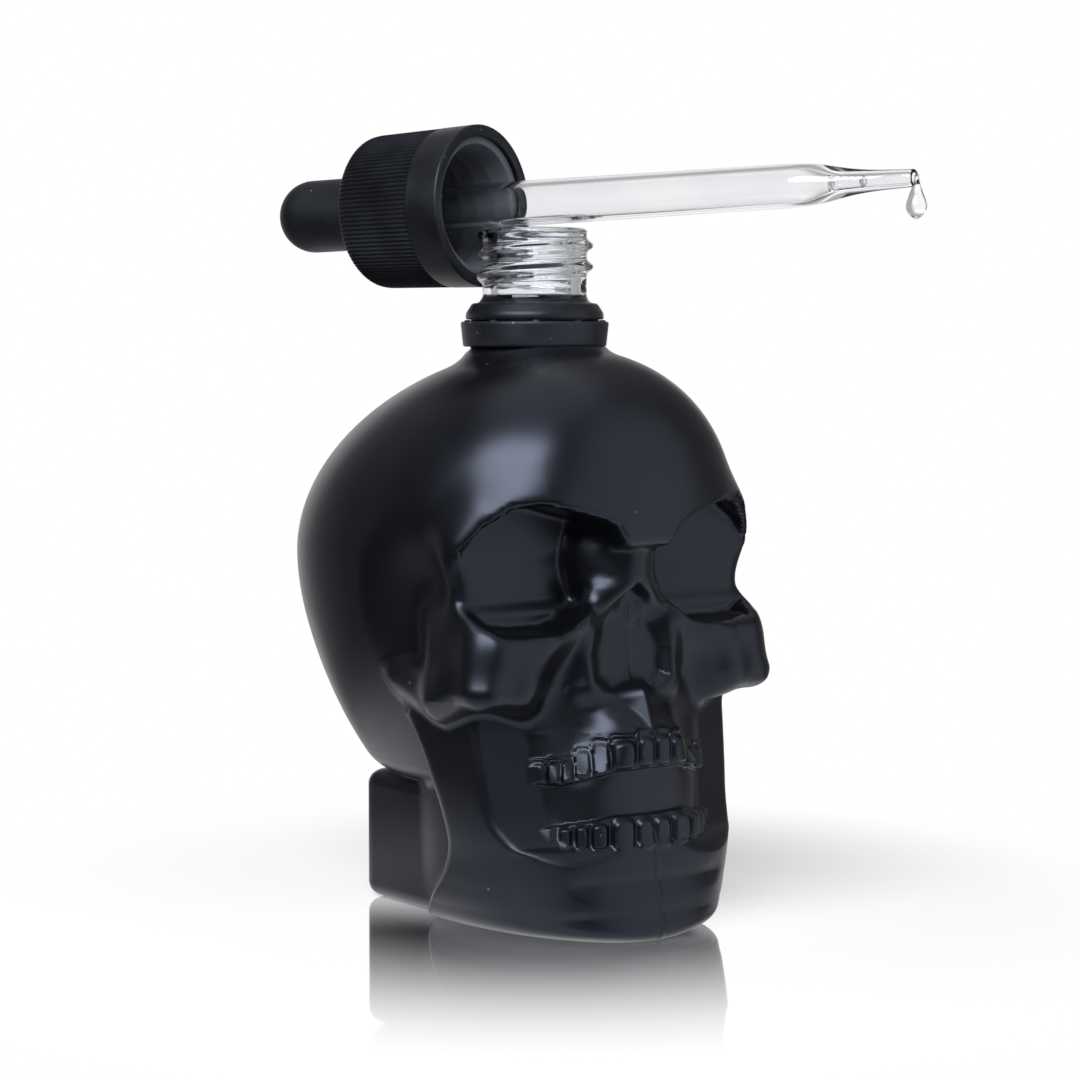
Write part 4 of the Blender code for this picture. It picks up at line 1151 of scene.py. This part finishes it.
def build_bulb(material):
    """Rubber bulb: a turned teat with a round dome, hollow, over the pipette's spigot."""
    dome = np.radians(np.linspace(-90.0, 0.0, 22))
    outer_r = BULB_RADIUS * np.cos(dome)
    outer_s = BULB_DOME + BULB_RADIUS * np.sin(dome)
    outer_r[0] = 0.0
    swell_s = np.linspace(BULB_DOME + 0.8, SHELL_END - 0.6, 14)
    swell_r = np.full(14, BULB_RADIUS)
    flange = profile([(BULB_RADIUS, BULB_FLANGE_TOP), (BULB_FLANGE_RADIUS, BULB_FLANGE_TOP),
                      (BULB_FLANGE_RADIUS, BULB_FLANGE_FOOT),
                      (PIPETTE_RADIUS + 0.3, BULB_FLANGE_FOOT)], 0.5, 0.2)
    inner = np.radians(np.linspace(0.0, -90.0, 16))
    room = BULB_RADIUS - BULB_WALL
    inner_r = room * np.cos(inner)
    inner_s = BULB_DOME + room * np.sin(inner)
    inner_r[-1] = 0.0
    r = np.concatenate([outer_r, swell_r, flange[2:-2, 0], inner_r])
    s = np.concatenate([outer_s, swell_s, flange[2:-2, 1], inner_s])
    points = turned(r, s, 96)
    item = piece("rubber_teat", laid(points), material, "dropper",
                 ("rubber_bulb",))
    creased(item, CREASE)


def eased_line(stations, values, count):
    """Values at even stations along a line through given ones, with smooth joins.

    Each pass puts a value half way to the mean of its two neighbours.
    """
    s = np.linspace(stations[0], stations[-1], count)
    fine = np.interp(s, stations, values)
    for _ in range(EASE_PASSES):
        fine[1:-1] = 0.25 * (fine[:-2] + fine[2:]) + 0.5 * fine[1:-1]
    return s, fine


PIPETTE_STATIONS = (-22.85, 0.0, 30.0, 44.0, 46.6, 48.3, 49.9, 51.4, 53.0, 55.0, 58.0, 63.7)
PIPETTE_OUTSIDE = (3.48, 3.42, 3.22, 3.16, 3.10, 2.92, 2.66, 2.36, 2.05, 1.74, 1.46, 1.24)
BORE_STATIONS = (-28.85, 30.0, 45.0, 46.8, 48.2, 49.4, 50.4, 51.2, 52.2, 54.0, 58.0, 63.7)
BORE_OUTSIDE = (2.60, 2.52, 2.48, 2.34, 2.04, 1.62, 1.24, 1.02, 0.92, 0.86, 0.80, 0.72)
EASE_PASSES = 6
LIQUID_START = 50.9
LIQUID_END = 56.0
LIQUID_GAP = 0.012
MENISCUS_DEPTH = 0.55


def build_pipette(material):
    """Glass pipette: a turned tube drawn down to a fine tip, with a flange under the bulb."""
    s, r = eased_line(PIPETTE_STATIONS, PIPETTE_OUTSIDE, 150)
    b, q = eased_line(BORE_STATIONS, BORE_OUTSIDE, 170)
    top_r = [BORE_OUTSIDE[0] + 0.2, PIPETTE_RADIUS - 0.15, PIPETTE_RADIUS, PIPETTE_RADIUS,
             PIPETTE_FLANGE_RADIUS - 0.3, PIPETTE_FLANGE_RADIUS, PIPETTE_FLANGE_RADIUS,
             PIPETTE_FLANGE_RADIUS - 0.3, PIPETTE_RADIUS + 0.3]
    top_s = [SPIGOT_TOP, SPIGOT_TOP, SPIGOT_TOP + 0.2, PIPETTE_FLANGE_TOP - 0.05,
             PIPETTE_FLANGE_TOP, PIPETTE_FLANGE_TOP + 0.2, PIPETTE_FLANGE_FOOT - 0.2,
             PIPETTE_FLANGE_FOOT, PIPETTE_FLANGE_FOOT]
    tip = np.radians(np.linspace(20.0, 160.0, 7))
    wall = 0.5 * (r[-1] - q[-1])
    tip_r = q[-1] + wall + wall * np.cos(tip)
    tip_s = PIPETTE_TIP + 0.5 * wall * np.sin(tip)
    full_r = np.concatenate([top_r, r, tip_r, q[::-1]])
    full_s = np.concatenate([top_s, s, tip_s, b[::-1]])
    points = turned(full_r, full_s, 96)
    item = piece("pipette_tube", laid(points), material, "dropper",
                 ("glass_pipette",), closed_rows=True)
    creased(item, GLASS_CREASE)
    return b, q


def build_liquid(material, bore_s, bore_r):
    """Liquid in the pipette's waist: it fills the bore between two curved menisci."""
    s = np.linspace(LIQUID_START, LIQUID_END, 40)
    r = np.interp(s, bore_s, bore_r) - LIQUID_GAP
    bowl = np.linspace(0.0, 1.0, 9)[:-1]
    dip = MENISCUS_DEPTH * (1.0 - bowl ** 2)
    full_r = np.concatenate([r[0] * bowl, r, r[-1] * bowl[::-1]])
    full_s = np.concatenate([s[0] + dip, s, s[-1] - dip[::-1]])
    points = turned(full_r, full_s, 64)
    piece("liquid_in_waist", laid(points), material, "dropper")


DROP_LENGTH = 5.75
DROP_RADIUS = 1.62
DROP_THREAD_RADIUS = 0.30
DROP_CAP_HEIGHT = 0.95
DROP_AHEAD = 0.42


def build_drop(material):
    """A drop that hangs from the tip: a thin neck that swells into a round belly.

    The radius along the fall is a thin thread plus a power of the sine of the way down,
    so that the widest place lies at three quarters of the length; the neck sets off from
    a cap of liquid that wets the tip's face.
    """
    way = np.linspace(0.0, 1.0, 60)
    belly = DROP_RADIUS * np.sin(math.pi * way ** 1.9) ** 0.82 * (way ** 0.55)
    thread = DROP_THREAD_RADIUS * (1.0 - way) ** 0.7 * smooth_step(-0.03, 0.10, way)
    radius = np.maximum(belly, 0.0) + thread
    radius[0] = 0.0
    radius[-1] = 0.0
    tip = laid(np.array([[0.0, 0.0, PIPETTE_TIP + DROP_AHEAD]]))[0]
    height = tip[2] + DROP_CAP_HEIGHT - (DROP_LENGTH + DROP_CAP_HEIGHT) * way
    points = turned(radius, height, 64)
    points[..., 0] += tip[0]
    points[..., 1] += tip[1]
    piece("hanging_drop", points, material, "dropper")


def build_object():
    """Every piece with its own material, from the bottle up to the drop."""
    skull = piece("skull_body", skull_points(), coated_glass(), "bottle",
                  ("glass_bottle",), closed_ends=True)
    field_normals(skull)
    build_neck()
    build_band(moulded_plastic(
        "moulded_polypropylene_dusty_ring", dark="#121317", light="#1d1f24", roughness=0.46,
        grain_size=0.4167, strength=0.22, dust_share=0.10))
    build_shell(moulded_plastic(
        "moulded_polypropylene_spark_eroded", dark="#0b0c0e", light="#101215", roughness=0.44,
        grain_size=0.3846, strength=0.20, dust_share=0.02))
    build_inner_cap(moulded_plastic(
        "moulded_polypropylene_smooth", dark="#5c6068", light="#646972", roughness=0.50,
        grain_size=0.6667, strength=0.10, dust_share=0.02))
    build_bulb(moulded_plastic(
        "moulded_nitrile_rubber", dark="#070809", light="#0c0d0f", roughness=0.52,
        grain_size=0.3125, strength=0.20, dust_share=0.02))
    bore_s, bore_r = build_pipette(clear_glass(
        "drawn_borosilicate_glass", ("#f8f9fb", "#fdfdfe"), ior=1.473, wave_size=11.11))
    spirit = clear_glass("clear_bitters_spirit", ("#f6f8f8", "#fdfefe"), ior=1.36,
                         wave_size=2.5)
    build_liquid(spirit, bore_s, bore_r)
    build_drop(spirit)


# stage, light, camera

def bearing(tree, heading, angle):
    """How far a direction points towards a bearing round the bottle: one straight at it,
    nought across it and less behind."""
    turn = math.radians(angle)
    flat = (math.sin(turn), -math.cos(turn), 0.0)
    return add(tree, "ShaderNodeVectorMath", {"operation": "DOT_PRODUCT", 1: flat},
               {0: heading}).outputs[1]


def studio_tone(tree, heading):
    """How bright the studio is in a direction, as a gloss or a glass shows it: white behind
    the bottle, grey to its right, pale overhead and nearly black to its left and front."""
    toward = bearing(tree, heading, CAMERA_AZIMUTH + 180.0)
    across = bearing(tree, heading, CAMERA_AZIMUTH + 90.0)
    rise = add(tree, "ShaderNodeSeparateXYZ", links={0: heading}).outputs[2]
    aside = bearing(tree, heading, CAMERA_AZIMUTH + 188.0)
    behind = spread(tree, aside, 0.74, 0.96, 0.0, 1.0)
    dusk = spread(tree, toward, 0.0, 0.60, 0.0, 0.20)
    beside = add(tree, "ShaderNodeMath", {"operation": "MULTIPLY"},
                 {0: spread(tree, across, 0.25, 0.80, 0.02, 0.95),
                  1: spread(tree, toward, -0.10, 0.30, 1.0, 0.10)}).outputs[0]
    above = spread(tree, rise, 0.70, 0.95, 0.0, 0.85)
    most = behind
    for part in (dusk, beside, above):
        most = add(tree, "ShaderNodeMath", {"operation": "MAXIMUM"},
                   {0: most, 1: part}).outputs[0]
    return most


def build_stage():
    """Round sheet of polished white acrylic.

    It keeps the bottle's shadow near the bottle and is plain white at its rim, glossy
    surfaces see the studio's tone in it, and at low angles it is a mirror that fades with
    distance and is stronger ahead of the bottle.
    """
    angle = np.linspace(0.0, TURN, FLOOR_SIDES, endpoint=False)
    level = np.zeros(FLOOR_SIDES)
    rim = np.stack([np.cos(angle), np.sin(angle), level], -1) * FLOOR_RADIUS * MM
    mesh = bpy.data.meshes.new("studio_floor")
    mesh.from_pydata(rim.tolist(), [], [list(range(FLOOR_SIDES))])
    floor = bpy.data.objects.new("studio_floor", mesh)
    floor.location.z = -FLOOR_GAP * MM
    bpy.context.scene.collection.objects.link(floor)
    material = bpy.data.materials.new("polished_white_acrylic")
    material.use_nodes = True
    tree = material.node_tree
    tree.nodes.clear()
    place = add(tree, "ShaderNodeTexCoord").outputs["Object"]
    away = add(tree, "ShaderNodeVectorMath", {"operation": "LENGTH"}, {0: place}).outputs[1]
    lit = add(tree, "ShaderNodeBsdfDiffuse", {"Color": linear("#f4f4f5")})
    glow = add(tree, "ShaderNodeEmission", {"Color": linear("#ffffff"), "Strength": 1.0})
    far = spread(tree, away, *FLOOR_LIGHT_FADE, 0.30, 1.0)
    base = add(tree, "ShaderNodeMixShader", links={0: far, 1: lit.outputs[0],
                                                  2: glow.outputs[0]})
    heading = add(tree, "ShaderNodeVectorMath", {"operation": "NORMALIZE"}, {0: place})
    close = spread(tree, away, *FLOOR_GLOSS_FADE, 1.00, 0.03)
    shown = add(tree, "ShaderNodeMath", {"operation": "MAXIMUM"},
                {0: close, 1: studio_tone(tree, heading.outputs[0])})
    seen = add(tree, "ShaderNodeEmission", {"Color": linear("#ffffff")},
               {"Strength": shown.outputs[0]})
    path = add(tree, "ShaderNodeLightPath")
    base = add(tree, "ShaderNodeMixShader", links={0: path.outputs["Is Glossy Ray"],
               1: base.outputs[0], 2: seen.outputs[0]})
    mirror = add(tree, "ShaderNodeBsdfGlossy", {"Roughness": 0.04,
                                               "Color": linear("#ffffff")})
    near = spread(tree, away, *FLOOR_MIRROR_FADE, 1.0, 0.0)
    ahead = spread(tree, bearing(tree, place, CAMERA_AZIMUTH), *FLOOR_MIRROR_SIDE, 0.30, 1.0)
    low = add(tree, "ShaderNodeLayerWeight", {"Blend": 0.5}).outputs["Facing"]
    low = spread(tree, low, *FLOOR_MIRROR_FACING, 0.0, 1.0)
    amount = add(tree, "ShaderNodeMath", {"operation": "MULTIPLY"}, {0: near, 1: ahead})
    amount = add(tree, "ShaderNodeMath", {"operation": "MULTIPLY"},
                 {0: amount.outputs[0], 1: low})
    both = add(tree, "ShaderNodeMixShader", links={0: amount.outputs[0], 1: base.outputs[0],
                                                  2: mirror.outputs[0]})
    add(tree, "ShaderNodeOutputMaterial", links={0: both.outputs[0]})
    mesh.materials.append(material)


def build_world():
    """A white studio: plain white for the camera, an even fill for diffuse light, and the
    studio's tone for reflections and, no darker than a pale grey, through glass."""
    world = bpy.data.worlds.new("studio")
    bpy.context.scene.world = world
    world.use_nodes = True
    tree = world.node_tree
    tree.nodes.clear()
    heading = add(tree, "ShaderNodeTexCoord").outputs["Generated"]
    path = add(tree, "ShaderNodeLightPath")
    tone = studio_tone(tree, heading)
    paler = add(tree, "ShaderNodeMath", {"operation": "MAXIMUM", 1: STUDIO_GLASS},
                {0: tone})
    fill = add(tree, "ShaderNodeBackground", {0: linear("#ffffff"), 1: STUDIO_FILL})
    gloss = add(tree, "ShaderNodeBackground", {0: linear("#ffffff")}, {1: tone})
    through = add(tree, "ShaderNodeBackground", {0: linear("#ffffff")}, {1: paler.outputs[0]})
    white = add(tree, "ShaderNodeBackground", {0: linear("#ffffff"), 1: 1.0})
    last = fill
    for kind, part in (("Is Glossy Ray", gloss), ("Is Transmission Ray", through),
                       ("Is Camera Ray", white)):
        last = add(tree, "ShaderNodeMixShader",
                   links={0: path.outputs[kind], 1: last.outputs[0], 2: part.outputs[0]})
    add(tree, "ShaderNodeOutputWorld", links={0: last.outputs[0]})


def build_softbox():
    """One softbox, up and to the left of the camera, aimed at the bottle's middle."""
    lamp = bpy.data.lights.new("softbox_upper_left", "AREA")
    lamp.shape = "RECTANGLE"
    lamp.size, lamp.size_y = SOFTBOX_SIZE
    lamp.energy = SOFTBOX_POWER
    item = bpy.data.objects.new("softbox_upper_left", lamp)
    bpy.context.scene.collection.objects.link(item)
    turn = math.radians(SOFTBOX_BEARING)
    rise = math.radians(SOFTBOX_RISE)
    back = Vector((math.sin(turn) * math.cos(rise), -math.cos(turn) * math.cos(rise),
                   math.sin(rise)))
    item.location = Vector(SOFTBOX_AIM) + back * SOFTBOX_DISTANCE
    item.rotation_euler = back.to_track_quat("Z", "Y").to_euler()


def build_camera():
    """The photograph's camera: its bearing, height and slight downward tilt."""
    camera = bpy.data.cameras.new("camera")
    camera.lens = CAMERA_LENS
    camera.sensor_width = CAMERA_SENSOR
    camera.shift_x = CAMERA_SHIFT
    camera.clip_start = 0.01
    camera.clip_end = 20.0
    item = bpy.data.objects.new("camera", camera)
    bpy.context.scene.collection.objects.link(item)
    turn = math.radians(CAMERA_AZIMUTH)
    item.location = Vector((math.sin(turn), -math.cos(turn), 0.0)) * CAMERA_DISTANCE * MM
    item.location.z = CAMERA_HEIGHT * MM
    item.rotation_euler = (math.radians(90.0 - CAMERA_TILT), 0.0, turn)
    bpy.context.scene.camera = item


build_object()
build_stage()
build_world()
build_softbox()
build_camera()
bpy.context.scene.view_settings.view_transform = "Standard"
